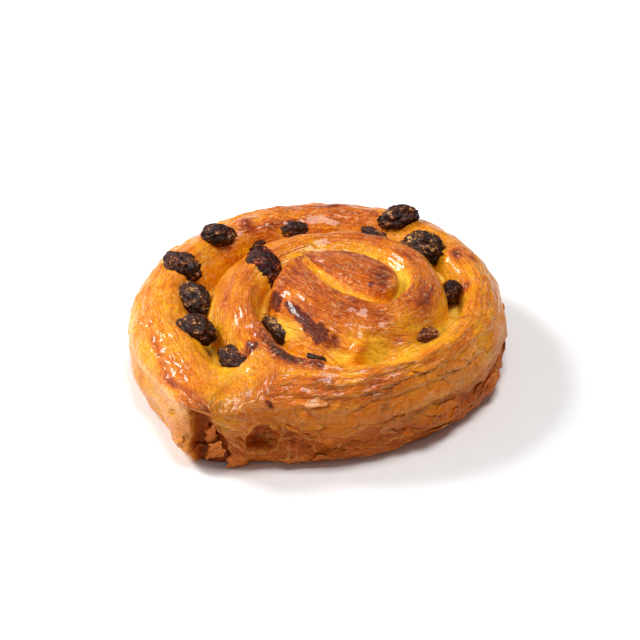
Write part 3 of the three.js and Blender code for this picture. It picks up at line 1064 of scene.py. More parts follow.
@dataclass
class Flakes:
    """The thin flakes of skin that have lifted off the side wall and the shoulder."""

    seed: int = 5
    spread: float = 3.0
    densest: float = 0.028
    length: tuple = (4.0, 10.0)
    width: tuple = (1.6, 4.4)
    lift: float = 0.5
    thick: float = 0.24
    ragged: float = 2.6
    turned: float = 0.6
    flipped: float = 0.35
    carried: tuple = ("brown", "bake", "burn", "yellow", "side", "hollow")

    def build(self, dough: bpy.types.Object, material: bpy.types.Material) -> bpy.types.Object:
        """Grows the flakes on the dough.

        Args:
            dough: The finished dough, which holds where skin flakes.
            material: The baked crust.

        Returns:
            The finished piece.
        """
        sizes = {"Spread": self.spread, "Densest": self.densest, "Lift": self.lift, "Thickness": self.thick}
        sizes.update({"Shortest": self.length[0], "Longest": self.length[1]})
        sizes.update({"Narrowest": self.width[0], "Widest": self.width[1], "Ragged": self.ragged})
        tree = self.make_tree(sizes)
        mesh = tree.grow("danish_flakes", dough, {"Material": material})
        piece = bpy.data.objects.new("danish_flakes", mesh)
        bpy.context.scene.collection.objects.link(piece)
        return piece

    def make_tree(self, sizes: dict) -> Tree:
        """Builds the tree: flat lens shapes strewn over the skin, made ragged, and laid back onto it.

        Args:
            sizes: The tree's number inputs, as name to default.

        Returns:
            The finished tree.
        """
        tree = Tree("flake_tree", sizes)
        node, size = tree.node, tree.size
        skin = tree.given.outputs["Geometry"]
        flaky = node("GeometryNodeInputNamedAttribute", {"Name": "flaky"}, data_type="FLOAT")
        strewn = node(
            "GeometryNodeDistributePointsOnFaces",
            {
                "Mesh": skin,
                "Distance Min": node("ShaderNodeMath", {0: size("Spread"), 1: MM}, operation="MULTIPLY"),
                "Density Max": node("ShaderNodeMath", {0: size("Densest"), 1: MM * MM}, operation="DIVIDE"),
                "Density Factor": flaky,
                "Seed": self.seed,
            },
            distribute_method="POISSON",
        )
        sides = {0: (0.0, 0.0, 1.0), 1: strewn.outputs["Normal"]}
        sideways = node("ShaderNodeVectorMath", sides, operation="CROSS_PRODUCT")
        upright = {"Vector": strewn.outputs["Normal"]}
        facing = node("FunctionNodeAlignRotationToVector", upright, axis="Z")
        level = {"Rotation": facing, "Vector": sideways}
        headed = node("FunctionNodeAlignRotationToVector", level, axis="X", pivot_axis="Z")
        chance = {2: -self.turned, 3: self.turned, "Seed": self.seed + 1}
        turned = node("FunctionNodeRandomValue", chance, data_type="FLOAT").outputs[1]
        chance = {"Probability": self.flipped, "Seed": self.seed + 4}
        flipped = node("FunctionNodeRandomValue", chance, data_type="BOOLEAN").outputs[3]
        over = node("ShaderNodeMath", {0: flipped, 1: math.pi}, operation="MULTIPLY")
        turned = node("ShaderNodeMath", {0: turned, 1: over}, operation="ADD")
        spun = node("FunctionNodeAxisAngleToRotation", {"Axis": (0.0, 0.0, 1.0), "Angle": turned})
        both = {"Rotation": headed, "Rotate By": spun}
        headed = node("FunctionNodeRotateRotation", both, rotation_space="LOCAL")
        across = []
        for k, (low, high) in enumerate((("Shortest", "Longest"), ("Narrowest", "Widest"))):
            inputs = {2: size(low), 3: size(high), "Seed": self.seed + 2 + k}
            drawn = node("FunctionNodeRandomValue", inputs, data_type="FLOAT").outputs[1]
            across.append(node("ShaderNodeMath", {0: drawn, 1: MM}, operation="MULTIPLY"))
        scale = node("ShaderNodeCombineXYZ", {"X": across[0], "Y": across[1], "Z": MM})
        lens = node("GeometryNodeMeshUVSphere", {"Segments": 18, "Rings": 7, "Radius": 0.5}).outputs["Mesh"]
        inputs = {"Geometry": lens, "Name": "local", "Value": node("GeometryNodeInputPosition")}
        lens = node("GeometryNodeStoreNamedAttribute", inputs, data_type="FLOAT_VECTOR", domain="POINT")
        scattered = node(
            "GeometryNodeInstanceOnPoints",
            {"Points": strewn.outputs["Points"], "Instance": lens, "Rotation": headed, "Scale": scale},
        )
        real = node("GeometryNodeRealizeInstances", {"Geometry": scattered})
        inputs = {"Vector": node("GeometryNodeInputPosition"), "Scale": 1 / (2.0 * MM), "Detail": 3.0}
        shake = node("ShaderNodeTexNoise", inputs).outputs[1]
        shake = node("ShaderNodeVectorMath", {0: shake, 1: (0.5, 0.5, 0.5)}, operation="SUBTRACT")
        by = node("ShaderNodeMath", {0: size("Ragged"), 1: MM}, operation="MULTIPLY")
        shake = node("ShaderNodeVectorMath", {0: shake, "Scale": by}, operation="SCALE")
        real = node("GeometryNodeSetPosition", {"Geometry": real, "Offset": shake})
        nearest = node("GeometryNodeProximity", {"Geometry": skin}, target_element="FACES")
        sampled = {"Mesh": skin, "Value": node("GeometryNodeInputNormal")}
        out = node("GeometryNodeSampleNearestSurface", sampled, data_type="FLOAT_VECTOR")
        local = node("GeometryNodeInputNamedAttribute", {"Name": "local"}, data_type="FLOAT_VECTOR")
        part = node("ShaderNodeSeparateXYZ", {0: local}).outputs
        squares = [node("ShaderNodeMath", {0: part[k], 1: 2.0}, operation="POWER") for k in (0, 1)]
        rim = node("ShaderNodeMath", {0: squares[0], 1: squares[1]}, operation="ADD")
        rim = node("ShaderNodeMath", {0: rim, 1: 4.0}, operation="MULTIPLY")
        free = node("ShaderNodeMath", {0: part[1], 1: -1.3}, operation="MULTIPLY")
        free = node("ShaderNodeMath", {0: free, 1: 0.42}, operation="ADD", use_clamp=True)
        raised = node("ShaderNodeMath", {0: rim, 1: 0.25}, operation="ADD")
        raised = node("ShaderNodeMath", {0: free, 1: raised}, operation="MULTIPLY")
        raised = node("ShaderNodeMath", {0: raised, 1: size("Lift")}, operation="MULTIPLY")
        body = node("ShaderNodeMath", {0: part[2], 1: size("Thickness")}, operation="MULTIPLY")
        height = node("ShaderNodeMath", {0: raised, 1: body}, operation="ADD")
        height = node("ShaderNodeMath", {0: height, 1: -0.05}, operation="ADD")
        height = node("ShaderNodeMath", {0: height, 1: MM}, operation="MULTIPLY")
        off = node("ShaderNodeVectorMath", {0: out, "Scale": height}, operation="SCALE")
        at = {"Geometry": real, "Position": nearest.outputs["Position"], "Offset": off}
        laid = node("GeometryNodeSetPosition", at)
        edge = node("ShaderNodeMath", {0: rim, 1: 0.72}, operation="SUBTRACT")
        edge = node("ShaderNodeMath", {0: edge, 1: 3.2}, operation="MULTIPLY", use_clamp=True)
        inputs = {"Geometry": laid, "Name": "torn", "Value": edge}
        laid = node("GeometryNodeStoreNamedAttribute", inputs, data_type="FLOAT", domain="POINT")
        for name in self.carried:
            held = node("GeometryNodeInputNamedAttribute", {"Name": name}, data_type="FLOAT")
            sampled = {"Mesh": skin, "Value": held}
            copied = node("GeometryNodeSampleNearestSurface", sampled, data_type="FLOAT")
            inputs = {"Geometry": laid, "Name": name, "Value": copied}
            laid = node("GeometryNodeStoreNamedAttribute", inputs, data_type="FLOAT", domain="POINT")
        here = node("ShaderNodeSeparateXYZ", {0: node("GeometryNodeInputPosition")}).outputs
        above = node("ShaderNodeMath", {0: here[2], 1: 0.0}, operation="MAXIMUM")
        stood = node("ShaderNodeCombineXYZ", {"X": here[0], "Y": here[1], "Z": above})
        laid = node("GeometryNodeSetPosition", {"Geometry": laid, "Position": stood})
        tree.close(node("GeometryNodeSetShadeSmooth", {"Geometry": laid}))
        return tree


@dataclass(frozen=True)
class Sheet:
    """A thin torn sheet of dough: its corners in order round it, as (angle, out from the rim, height)."""

    corners: tuple
    bulge: float = 0.5
    thick: float = 0.5
    ragged: float = 0.6


SHEETS = (
    Sheet(((235.6, -3.8, 1.8), (241.8, -1.8, 4.6), (241.4, -0.1, 10.6), (236.6, -3.6, 7.4)), -0.4),
    Sheet(((235.8, -4.2, 6.5), (239.4, -3.4, 8.5), (239.0, -2.4, 15.5), (236.2, -3.8, 12.5)), 0.3),
    Sheet(((241.4, -2.0, 0.2), (246.9, -2.2, 0.3), (248.2, -1.0, 4.8), (243.4, -1.2, 6.2)), 1.3),
)


@dataclass
class TornSheets:
    """The torn sheets that stand in the nick, each meshed with so many points across and up."""

    roll: Roll
    across: int = 26
    up: int = 30

    def __post_init__(self) -> None:
        """Lays out the shares of the way across a sheet and up it."""
        self.share = np.meshgrid(np.linspace(0, 1, self.across), np.linspace(0, 1, self.up), indexing="ij")

    def surface(self, sheet: Sheet, noise: Noise) -> Array:
        """Works out a sheet's middle surface.

        Args:
            sheet: The sheet.
            noise: What bends it.

        Returns:
            The surface as a grid of points.
        """
        s, t = self.share
        weights = ((1 - s) * (1 - t), s * (1 - t), s * t, (1 - s) * t)
        spot = sum(weight[..., None] * np.array(corner) for weight, corner in zip(weights, sheet.corners))
        angle, out, height = np.moveaxis(spot, -1, 0)
        out = out + sheet.bulge * 16 * s * (1 - s) * t * (1 - t) + 0.5 * noise.at(s * 3, t * 3, 0.5)
        angle = angle + sheet.ragged * noise.at(t * 6, s * 2, 3.5)
        height = np.maximum(height + sheet.ragged * noise.at(s * 6, t * 2, 7.5), 0.3)
        return np.dstack([self.roll.rim_point(angle, -out), height])

    def build(self, shift: Array, material: bpy.types.Material) -> bpy.types.Object:
        """Makes the sheets as closed, thin-edged leaves.

        Args:
            shift: From the roll's own plan to the frame.
            material: The baked crust.

        Returns:
            The finished piece.
        """
        s, t = self.share
        edge = clamp01(np.minimum(np.minimum(s, 1 - s), np.minimum(t, 1 - t)) * 5)
        columns, rows = s.shape
        number = np.arange(columns * rows).reshape(columns, rows)
        quads = np.stack([number[:-1, :-1], number[1:, :-1], number[1:, 1:], number[:-1, 1:]], -1)
        quads = quads.reshape(-1, 4)
        loop = np.concatenate([number[:-1, 0], number[-1, :-1], number[:0:-1, -1], number[0, :0:-1]])
        points, faces, torn = [], [], []
        for k, sheet in enumerate(SHEETS):
            middle = self.surface(sheet, Noise(SEED + 60 + k))
            facing = np.cross(np.gradient(middle, axis=0), np.gradient(middle, axis=1))
            facing = facing / np.maximum(np.linalg.norm(facing, axis=-1, keepdims=True), 1e-9)
            half = facing * (sheet.thick * (0.25 + 0.75 * np.sqrt(edge)) / 2)[..., None]
            start, back = len(points) * 2 * number.size, number.size
            points.append(np.concatenate([(middle + half).reshape(-1, 3), (middle - half).reshape(-1, 3)]))
            torn.append(np.tile((1 - edge).ravel() ** 3, 2))
            faces.extend((quads + start).tolist())
            faces.extend((quads[:, ::-1] + start + back).tolist())
            ahead = np.roll(loop, -1)
            faces.extend((np.stack([loop, loop + back, ahead + back, ahead], -1) + start).tolist())
        piece = to_mesh("danish_torn_sheets", np.concatenate(points) + shift, faces, material)
        torn = np.concatenate(torn)
        write_value(piece.data, "torn", 0.7 * torn)
        for name in ("side", "brown"):
            write_value(piece.data, name, np.full(len(torn), 0.5))
        return piece


class Skin(Enum):
    """How a raisin's skin came out of the oven: its colours from the folds to the dry ridges, whose tan is
    partly a painted highlight where light catches them.
    """

    SCORCHED = ((0.0, "#1A0A05"), (0.38, "#3C180A"), (0.58, "#6A3014"), (0.76, "#A8662E"), (1.0, "#DDB070"))
    DRIED = ((0.0, "#160805"), (0.3, "#38190C"), (0.5, "#6E3E1C"), (0.68, "#B07C3E"), (1.0, "#DDB26E"))
    SOAKED = ((0.0, "#35140A"), (0.3, "#743414"), (0.5, "#A8602C"), (0.75, "#D8986A"), (1.0, "#ECC8A0"))
    PLUMP = ((0.0, "#160503"), (0.35, "#3C0E06"), (0.6, "#6E1F0C"), (0.82, "#A8461C"), (1.0, "#D08A50"))


@dataclass(frozen=True)
class Raisin:
    """One raisin: its place along and outside the groove, its size, heading and tilt."""

    turn: float
    out: float
    height: float
    size: tuple
    heading: float
    tilt: float
    skin: Skin = Skin.SCORCHED


RAISINS = (
    Raisin(788, 8.8, 26.9, (13.5, 9, 7.6), 10, -8),
    Raisin(770, 2.1, 24.3, (14.5, 11.5, 10.5), -22, 10, Skin.DRIED),
    Raisin(796, 3.8, 22, (11, 6.5, 6), -25, 6),
    Raisin(739, -0.4, 21, (8, 6, 7.5), 65, -20),
    Raisin(684, -1.6, 23.8, (10.5, 7, 5.5), 20, 0, Skin.SOAKED),
    Raisin(858, 7.7, 26.6, (11, 8, 6.8), -5, 6),
    Raisin(878, 7.6, 25, (13.5, 8.8, 8.4), -35, 10),
    Raisin(892, 0.9, 22.2, (13.5, 9, 8.6), -62, 8, Skin.DRIED),
    Raisin(913, 3, 22.4, (13, 9.5, 9), -28, 8),
    Raisin(937, -1.6, 21.5, (14, 7.2, 7.2), -60, -4),
    Raisin(509, 5.8, 27.2, (15, 10, 9), -66, 20, Skin.PLUMP),
    Raisin(571, -2.2, 23.4, (13.5, 5.4, 6), -50, 8, Skin.DRIED),
    Raisin(612, -2.8, 22.4, (9.5, 5, 4.6), -18, 0),
    Raisin(845.5, 4.4, 20.0, (9, 6, 6), 25, 0),
    Raisin(829.5, 5.5, 22.5, (11.5, 6, 6), 12, 0),
)


@dataclass
class Raisins:
    """The raisins, all grown from one tree that wrinkles a ball into a dried fruit."""

    roll: Roll
    fold_depth: float = 0.28
    wrinkle_depth: float = 0.14
    smallest: float = 0.6

    def make_tree(self) -> Tree:
        """Builds the tree: a fine ball, drawn to the raisin's size, with deep folds and fine wrinkles.

        Returns:
            The finished tree.
        """
        sizes = {"Length": 12, "Width": 8, "Thickness": 8, "Seed": 0}
        sizes.update({"Fold depth": self.fold_depth, "Wrinkle depth": self.wrinkle_depth})
        tree = Tree("raisin_tree", sizes)
        node, size = tree.node, tree.size
        ball = node("GeometryNodeMeshIcoSphere", {"Radius": 0.5, "Subdivisions": 5}).outputs["Mesh"]
        drawn = {"X": size("Length"), "Y": size("Width"), "Z": size("Thickness")}
        inputs = {0: node("GeometryNodeInputPosition"), 1: node("ShaderNodeCombineXYZ", drawn)}
        real = node("ShaderNodeVectorMath", inputs, operation="MULTIPLY")
        squeezed = node("ShaderNodeVectorMath", {0: real, 1: (0.13, 0.3, 0.3)}, operation="MULTIPLY")

        def ridges(scale: float, extra: float) -> bpy.types.Node:
            """Cuts furrows with sharp edges between them.

            Args:
                scale: The noise's scale.
                extra: What is added to the seed, so that two sets of furrows differ.

            Returns:
                The furrows, 0 along their bottoms.
            """
            seed = node("ShaderNodeMath", {0: size("Seed"), 1: extra}, operation="ADD")
            inputs = {"Vector": squeezed, "W": seed, "Scale": scale, "Detail": 1.5, "Distortion": 0.5}
            noise = node("ShaderNodeTexNoise", inputs, noise_dimensions="4D")
            away = node("ShaderNodeMath", {0: noise, 1: 0.5}, operation="SUBTRACT")
            away = node("ShaderNodeMath", {0: away}, operation="ABSOLUTE")
            return node("ShaderNodeMath", {0: away, 1: 5.0}, operation="MULTIPLY")

        folds, wrinkles = ridges(1.0, 0.0), ridges(2.9, 9.0)
        deep = node("ShaderNodeMath", {0: folds, 1: size("Fold depth")}, operation="MULTIPLY")
        fine = node("ShaderNodeMath", {0: wrinkles, 1: size("Wrinkle depth")}, operation="MULTIPLY")
        cut = node("ShaderNodeMath", {0: deep, 1: fine}, operation="ADD")
        shrunk = node("ShaderNodeMath", {0: 1.05, 1: cut}, operation="SUBTRACT")
        shrunk = node("ShaderNodeMath", {0: shrunk, 1: self.smallest}, operation="MAXIMUM")
        ended = node("ShaderNodeVectorMath", {0: real, "Scale": shrunk}, operation="SCALE")
        moved = node("GeometryNodeSetPosition", {"Geometry": ball, "Position": ended})
        # The ridges are kept for the finish, which paints them tan: partly dry skin, partly a painted
        # highlight where light catches them.
        lit_dry_ridge = node("ShaderNodeMath", {0: 1.0, 1: wrinkles}, operation="SUBTRACT")
        inputs = {"Geometry": moved, "Name": "lit_dry_ridge", "Value": lit_dry_ridge}
        noted = node("GeometryNodeStoreNamedAttribute", inputs, data_type="FLOAT", domain="POINT")
        tree.close(node("GeometryNodeSetShadeSmooth", {"Geometry": noted}))
        return tree

    def build(self, shift: Array, materials: dict) -> list:
        """Grows each raisin and lays it in its place.

        Args:
            shift: From the roll's own plan to the frame.
            materials: The dried fruit's finishes, by skin.

        Returns:
            The finished pieces.
        """
        made = []
        tree = self.make_tree()
        base = to_mesh("raisin_base", np.zeros((3, 3)), [], materials[Skin.SCORCHED])
        for k, raisin in enumerate(RAISINS):
            values = dict(zip(("Length", "Width", "Thickness"), map(float, raisin.size)))
            values.update({"Seed": 3.7 * k, "Material": materials[raisin.skin]})
            name = f"danish_raisin_{k + 1:02d}"
            mesh = tree.grow(name, base, values)
            count = len(mesh.vertices)
            points = np.empty(count * 3)
            mesh.vertices.foreach_get("co", points)
            mesh.vertices.foreach_set("co", (self.placed(raisin, points.reshape(-1, 3)) + shift).ravel() * MM)
            mesh.update()
            piece = bpy.data.objects.new(name, mesh)
            bpy.context.scene.collection.objects.link(piece)
            made.append(piece)
        bpy.data.objects.remove(base)
        return made

    def placed(self, raisin: Raisin, points: Array) -> Array:
        """Turns a raisin and moves it to its place on the roll.

        Args:
            raisin: The raisin.
            points: Its points about its own middle, in millimetres.

        Returns:
            The points in place.
        """
        tilt, heading = np.radians(raisin.tilt), np.radians(raisin.heading)
        about_y = np.array([[np.cos(tilt), 0, np.sin(tilt)], [0, 1, 0], [-np.sin(tilt), 0, np.cos(tilt)]])
        about_z = np.eye(3)
        about_z[:2, :2] = [[np.cos(heading), -np.sin(heading)], [np.sin(heading), np.cos(heading)]]
        at = self.roll.spiral_point(np.array(raisin.turn))
        outwards = at - self.roll.centre(np.array(raisin.turn))
        at = at + outwards / np.linalg.norm(outwards) * raisin.out
        return points @ (about_z @ about_y).T + np.array([at[0], at[1], raisin.height])


def linear(code: str) -> tuple:
    """Turns an sRGB hex colour into linear red, green, blue and alpha."""
    parts = [int(code[k : k + 2], 16) / 255 for k in (1, 3, 5)]
    return (*(p / 12.92 if p <= 0.04045 else ((p + 0.055) / 1.055) ** 2.4 for p in parts), 1.0)


class Pattern:
    """A material under construction, with the few sums and textures that the finishes share."""

    def __init__(self, name: str) -> None:
        """Starts an empty material.

        Args:
            name: The material's name.
        """
        self.material = bpy.data.materials.new(name)
        self.material.use_nodes = True
        self.tree = self.material.node_tree
        self.tree.nodes.clear()
        self.place = add(self.tree, "ShaderNodeTexCoord").outputs["Object"]

    def sum_of(self, *parts: tuple) -> bpy.types.NodeSocket:
        """Adds up values.

        Args:
            *parts: Pairs of a value and its factor, and plain numbers.

        Returns:
            The sum.
        """
        total = 0.0
        for part in parts:
            if isinstance(part, tuple):
                inputs = {0: part[0], 1: part[1], 2: total}
                total = add(self.tree, "ShaderNodeMath", inputs, operation="MULTIPLY_ADD").outputs[0]
            else:
                total = add(self.tree, "ShaderNodeMath", {0: total, 1: part}, operation="ADD").outputs[0]
        return total

    def where(self, value: object, low: float, high: float, within: object = 1.0) -> bpy.types.NodeSocket:
        """Finds where a value is high, within some other place.

        Args:
            value: The value.
            low: Where it begins to count.
            high: Where it counts in full, which may be the lower of the two.
            within: How far each point belongs to the other place, from 0 to 1.

        Returns:
            How far each point belongs to both, from 0 to 1, with a soft step between.
        """
        inputs = {"Value": value, "From Min": low, "From Max": high}
        risen = add(self.tree, "ShaderNodeMapRange", inputs, interpolation_type="SMOOTHSTEP")
        inputs = {0: within, 1: risen.outputs[0]}
        return add(self.tree, "ShaderNodeMath", inputs, operation="MULTIPLY", use_clamp=True).outputs[0]

    def noise(self, at: object, size: tuple, detail: float, bend: float = 0.0) -> bpy.types.NodeSocket:
        """Makes noise.

        Args:
            at: The place to read.
            size: The size of a feature along each axis, in the same units.
            detail: How many finer layers it has.
            bend: How far it is bent.

        Returns:
            The noise, from 0 to 1.
        """
        scaled = add(self.tree, "ShaderNodeMapping", {"Vector": at, "Scale": tuple(1 / s for s in size)})
        inputs = {"Vector": scaled.outputs[0], "Scale": 1.0, "Detail": detail, "Distortion": bend}
        return add(self.tree, "ShaderNodeTexNoise", inputs).outputs[0]

    def spots(self, size_mm: float, detail: float) -> bpy.types.NodeSocket:
        """Returns round-featured noise on the piece."""
        return self.noise(self.place, (size_mm * MM,) * 3, detail)

    def warped(self, at: bpy.types.NodeSocket, scale: float, by: float) -> bpy.types.NodeSocket:
        """Shakes a place, so that cells laid on it have ragged outlines.

        Args:
            at: The place.
            scale: The noise's features in one unit of it.
            by: How far it is shaken.

        Returns:
            The shaken place.
        """
        shake = add(self.tree, "ShaderNodeTexNoise", {"Vector": at, "Scale": scale, "Detail": 3.0})
        halves = {0: shake.outputs[1], 1: (0.5, 0.5, 0.5)}
        centred = add(self.tree, "ShaderNodeVectorMath", halves, operation="SUBTRACT")
        parts = {0: centred.outputs[0], "Scale": by}
        scaled = add(self.tree, "ShaderNodeVectorMath", parts, operation="SCALE")
        both = {0: at, 1: scaled.outputs[0]}
        return add(self.tree, "ShaderNodeVectorMath", both, operation="ADD").outputs[0]

    def plates(self, at: bpy.types.NodeSocket, size: tuple) -> tuple:
        """Lays out broken plates of skin.

        Args:
            at: The place to read.
            size: A plate's size, in the same units.

        Returns:
            The height of the plates, each tilted its own way, and how far each point is from a plate's edge.
        """
        scaled = add(self.tree, "ShaderNodeMapping", {"Vector": at, "Scale": tuple(1 / s for s in size)})
        cells = {"Vector": scaled.outputs[0], "Scale": 1.0}
        cell = add(self.tree, "ShaderNodeTexVoronoi", cells)
        edge = add(self.tree, "ShaderNodeTexVoronoi", cells, feature="DISTANCE_TO_EDGE")
        inputs = {0: scaled.outputs[0], 1: cell.outputs["Position"]}
        local = add(self.tree, "ShaderNodeVectorMath", inputs, operation="SUBTRACT")
        inputs = {0: cell.outputs["Color"], 1: (0.5, 0.5, 0.5)}
        tilt = add(self.tree, "ShaderNodeVectorMath", inputs, operation="SUBTRACT")
        inputs = {0: local.outputs[0], 1: tilt.outputs[0]}
        height = add(self.tree, "ShaderNodeVectorMath", inputs, operation="DOT_PRODUCT").outputs["Value"]
        return height, edge.outputs["Distance"]

    def colours(self, value: object, stops: tuple) -> bpy.types.NodeSocket:
        """Colours a value.

        Args:
            value: The value.
            stops: The colours, as (place, hex colour) pairs.

        Returns:
            The colour.
        """
        node = add(self.tree, "ShaderNodeValToRGB", {0: value})
        elements = node.color_ramp.elements
        while len(elements) < len(stops):
            elements.new(0.5)
        for element, (place, code) in zip(elements, stops):
            element.position = place
            element.color = linear(code)
        return node.outputs[0]

    def blend(self, amount: object, a: object, b: object) -> bpy.types.NodeSocket:
        """Blends two colours.

        Args:
            amount: How far the result is from a to b, kept between 0 and 1.
            a: The first colour.
            b: The second colour.

        Returns:
            The blend.
        """
        node = add(self.tree, "ShaderNodeMix", data_type="RGBA", clamp_factor=True)
        sockets = {socket.name: socket for socket in node.inputs if socket.enabled}
        for key, given in (("Factor", amount), ("A", a), ("B", b)):
            if isinstance(given, bpy.types.NodeSocket):
                self.tree.links.new(given, sockets[key])
            else:
                sockets[key].default_value = given
        return next(socket for socket in node.outputs if socket.enabled)

    def close(self, height: object, depth_mm: float, shader: dict) -> bpy.types.Material:
        """Ends the material.

        Args:
            height: The relief.
            depth_mm: Its depth, in millimetres.
            shader: The shader's values and links, by input name.

        Returns:
            The material.
        """
        inputs = {"Height": height, "Strength": 1.0, "Distance": depth_mm * MM}
        bumped = add(self.tree, "ShaderNodeBump", inputs)
        surface = add(self.tree, "ShaderNodeBsdfPrincipled", {**shader, "Normal": bumped.outputs[0]})
        add(self.tree, "ShaderNodeOutputMaterial", {"Surface": surface.outputs[0]})
        return self.material


@dataclass(frozen=True)
class CrustFinish:
    """Laminated dough baked golden and brushed with egg: glossy, streaked along the roll, browned on top."""

    bake: tuple = (
        (0.0, "#FDC62A"), (0.18, "#FBB015"), (0.38, "#EC8C06"), (0.54, "#D66A04"), (0.7, "#AE4604"),
        (0.85, "#782804"), (1.0, "#3A1004"),
    )
    side: tuple = ((0.0, "#803000"), (0.35, "#B84E00"), (0.65, "#D66A00"), (1.0, "#EE9418"))
    burnt: tuple = ((0.3, "#340E05"), (0.52, "#5E200A"), (0.7, "#8E3C12"))
    torn: str = "#E2A04A"
    crack: str = "#6E2C0A"
    sheen_fleck: str = "#F6CB92"

    def make(self) -> bpy.types.Material:
        """Builds the material.

        Browning shows as streaks along the roll, then come torn edges, cracks, pale flecks, which are partly a
        painted sheen of the glaze, and burnt marks.

        Returns:
            The material.
        """
        skin = Pattern("egg_washed_crust")
        names = ("brown", "bake", "burn", "yellow", "side", "torn", "hollow", "crack", "strand")
        value = {}
        for name in names:
            value[name] = add(skin.tree, "ShaderNodeAttribute", attribute_name=name).outputs["Fac"]
        roll = add(skin.tree, "ShaderNodeAttribute", attribute_name="roll").outputs["Vector"]
        long_streak = skin.noise(roll, (15, 1.5, 1), 3, 0.3)
        fine_streak = skin.noise(roll, (3.6, 0.42, 1), 2, 0.5)
        # The glaze's own grain is about 0.2 mm, which is too fine to show, so it is drawn at 0.5 mm.
        cloud, speck, grain = skin.spots(8, 3), skin.spots(1.3, 3), skin.spots(0.5, 2)
        streaks = skin.sum_of((long_streak, 0.5), (fine_streak, 0.34), -0.42)
        brown = skin.sum_of(
            (value["brown"], 1.0), (value["bake"], 1.0), (streaks, value["strand"]), (cloud, 0.55),
            (speck, 0.3), (value["yellow"], -0.45), (value["burn"], 0.3), -0.425,
        )
        top = skin.colours(brown, self.bake)
        # The side's tone varies at random and is darkened by painted shade in the nick and the pocket.
        side_tone_and_shade = skin.sum_of((cloud, 0.85), (speck, 0.6), (long_streak, 0.4), (value["hollow"], -0.32), -0.42)
        side = skin.colours(side_tone_and_shade, self.side)
        colour = skin.blend(value["side"], top, side)
        ragged = skin.warped(skin.place, 1 / (3 * MM), 3.0 * MM)
        tilted, edge = skin.plates(ragged, (5.5 * MM, 5.5 * MM, 3.6 * MM))
        rims = skin.where(skin.spots(4, 2), 0.5, 0.62, skin.where(edge, 0.06, 0.01))
        rims = skin.where(value["side"], 0.3, 0.75, rims)
        pale = skin.where(speck, 0.35, 0.65, value["torn"])
        pale = skin.sum_of((pale, 0.7), (rims, 0.35))
        colour = skin.blend(pale, colour, linear(self.torn))
        colour = skin.blend(skin.sum_of((value["crack"], 0.7)), colour, linear(self.crack))
        flaked = skin.warped(roll, 0.35, 2.4)
        facets, seams = skin.plates(flaked, (2.6, 0.95, 1))
        crackled = skin.where(skin.spots(5, 2), 0.42, 0.6, skin.where(seams, 0.07, 0.0))
        colour = skin.blend(skin.sum_of((crackled, 0.3)), colour, linear(self.crack))
        # Pale threads on the crown: partly paler skin, partly a painted sheen of the glaze where it catches
        # the light.
        threads = skin.where(skin.noise(flaked, (1.7, 0.5, 1), 2, 0.4), 0.5, 0.66)
        threads = skin.where(skin.spots(6, 3), 0.36, 0.6, threads)
        bare = skin.sum_of((value["side"], -0.36), (value["burn"], -0.4), 0.4)
        colour = skin.blend(skin.sum_of((threads, bare)), colour, linear(self.sheen_fleck))
        charred = skin.where(skin.sum_of((value["burn"], 1.0), (speck, 0.6), -0.3), 0.35, 0.95, 0.88)
        char = skin.colours(skin.sum_of((speck, 0.6), (fine_streak, 0.5), -0.05), self.burnt)
        colour = skin.blend(charred, colour, char)
        height = skin.sum_of(
            (facets, 0.5), (fine_streak, 0.42), (speck, 0.34), (grain, 0.32), (rims, 0.5),
            (tilted, value["side"]), (skin.where(seams, 0.0, 0.09), 0.1),
        )
        shader = {
            "Base Color": colour,
            "Roughness": skin.sum_of((cloud, 0.2), (value["side"], 0.25), (grain, 0.14), 0.14),
            "IOR": 1.45,
            "Specular IOR Level": 0.24,
            "Subsurface Weight": 0.12,
            "Subsurface Radius": (1.0, 0.4, 0.1),
            "Subsurface Scale": 1.4 * MM,
            "Coat Weight": skin.sum_of((value["side"], -0.34), 0.42),
            "Coat Roughness": 0.1,
            "Coat IOR": 1.45,
        }
        return skin.close(height, 1.0, shader)


@dataclass(frozen=True)
class CustardFinish:
    """Baked egg custard: pale yellow with golden patches, moist and slightly clear."""

    stops: tuple = ((0.25, "#DE9020"), (0.5, "#F0B83C"), (0.8, "#F8D878"))

    def make(self) -> bpy.types.Material:
        """Builds the material.

        Returns:
            The material.
        """
        custard = Pattern("baked_custard")
        shader = {
            "Base Color": custard.colours(custard.spots(4, 3), self.stops),
            "Roughness": 0.3,
            "IOR": 1.42,
            "Subsurface Weight": 0.3,
            "Subsurface Radius": (1.0, 0.6, 0.25),
            "Subsurface Scale": 1.5 * MM,
        }
        return custard.close(custard.spots(0.7, 2), 0.1, shader)


@dataclass(frozen=True)
class RaisinFinish:
    """Dried grape, scorched by the oven: near black in the folds, tan along the dry ridges, which is partly a
    painted highlight where light catches them.
    """

    skin: Skin = Skin.SCORCHED

    def make(self) -> bpy.types.Material:
        """Builds the material.

        Returns:
            The material.
        """
        grape = Pattern(f"dried_grape_{self.skin.name.lower()}")
        patch, thread = grape.spots(2.6, 3), grape.spots(0.7, 3)
        lit_dry_ridge = add(grape.tree, "ShaderNodeAttribute", attribute_name="lit_dry_ridge").outputs["Fac"]
        # Tan on the ridges: partly dry skin, partly a painted highlight where light catches them.
        dry = grape.where(lit_dry_ridge, 0.55, 0.95, grape.where(patch, 0.4, 0.62))
        amount = grape.sum_of((patch, 0.5), (dry, 0.62), (thread, 0.5), -0.27)
        height = grape.sum_of((thread, 1.0), (grape.spots(0.35, 2), 0.5))
        shader = {
            "Base Color": grape.colours(amount, self.skin.value),
            "Roughness": grape.sum_of((patch, 0.3), 0.2),
            "IOR": 1.46,
            "Specular IOR Level": 0.3,
        }
        return grape.close(height, 0.3, shader)


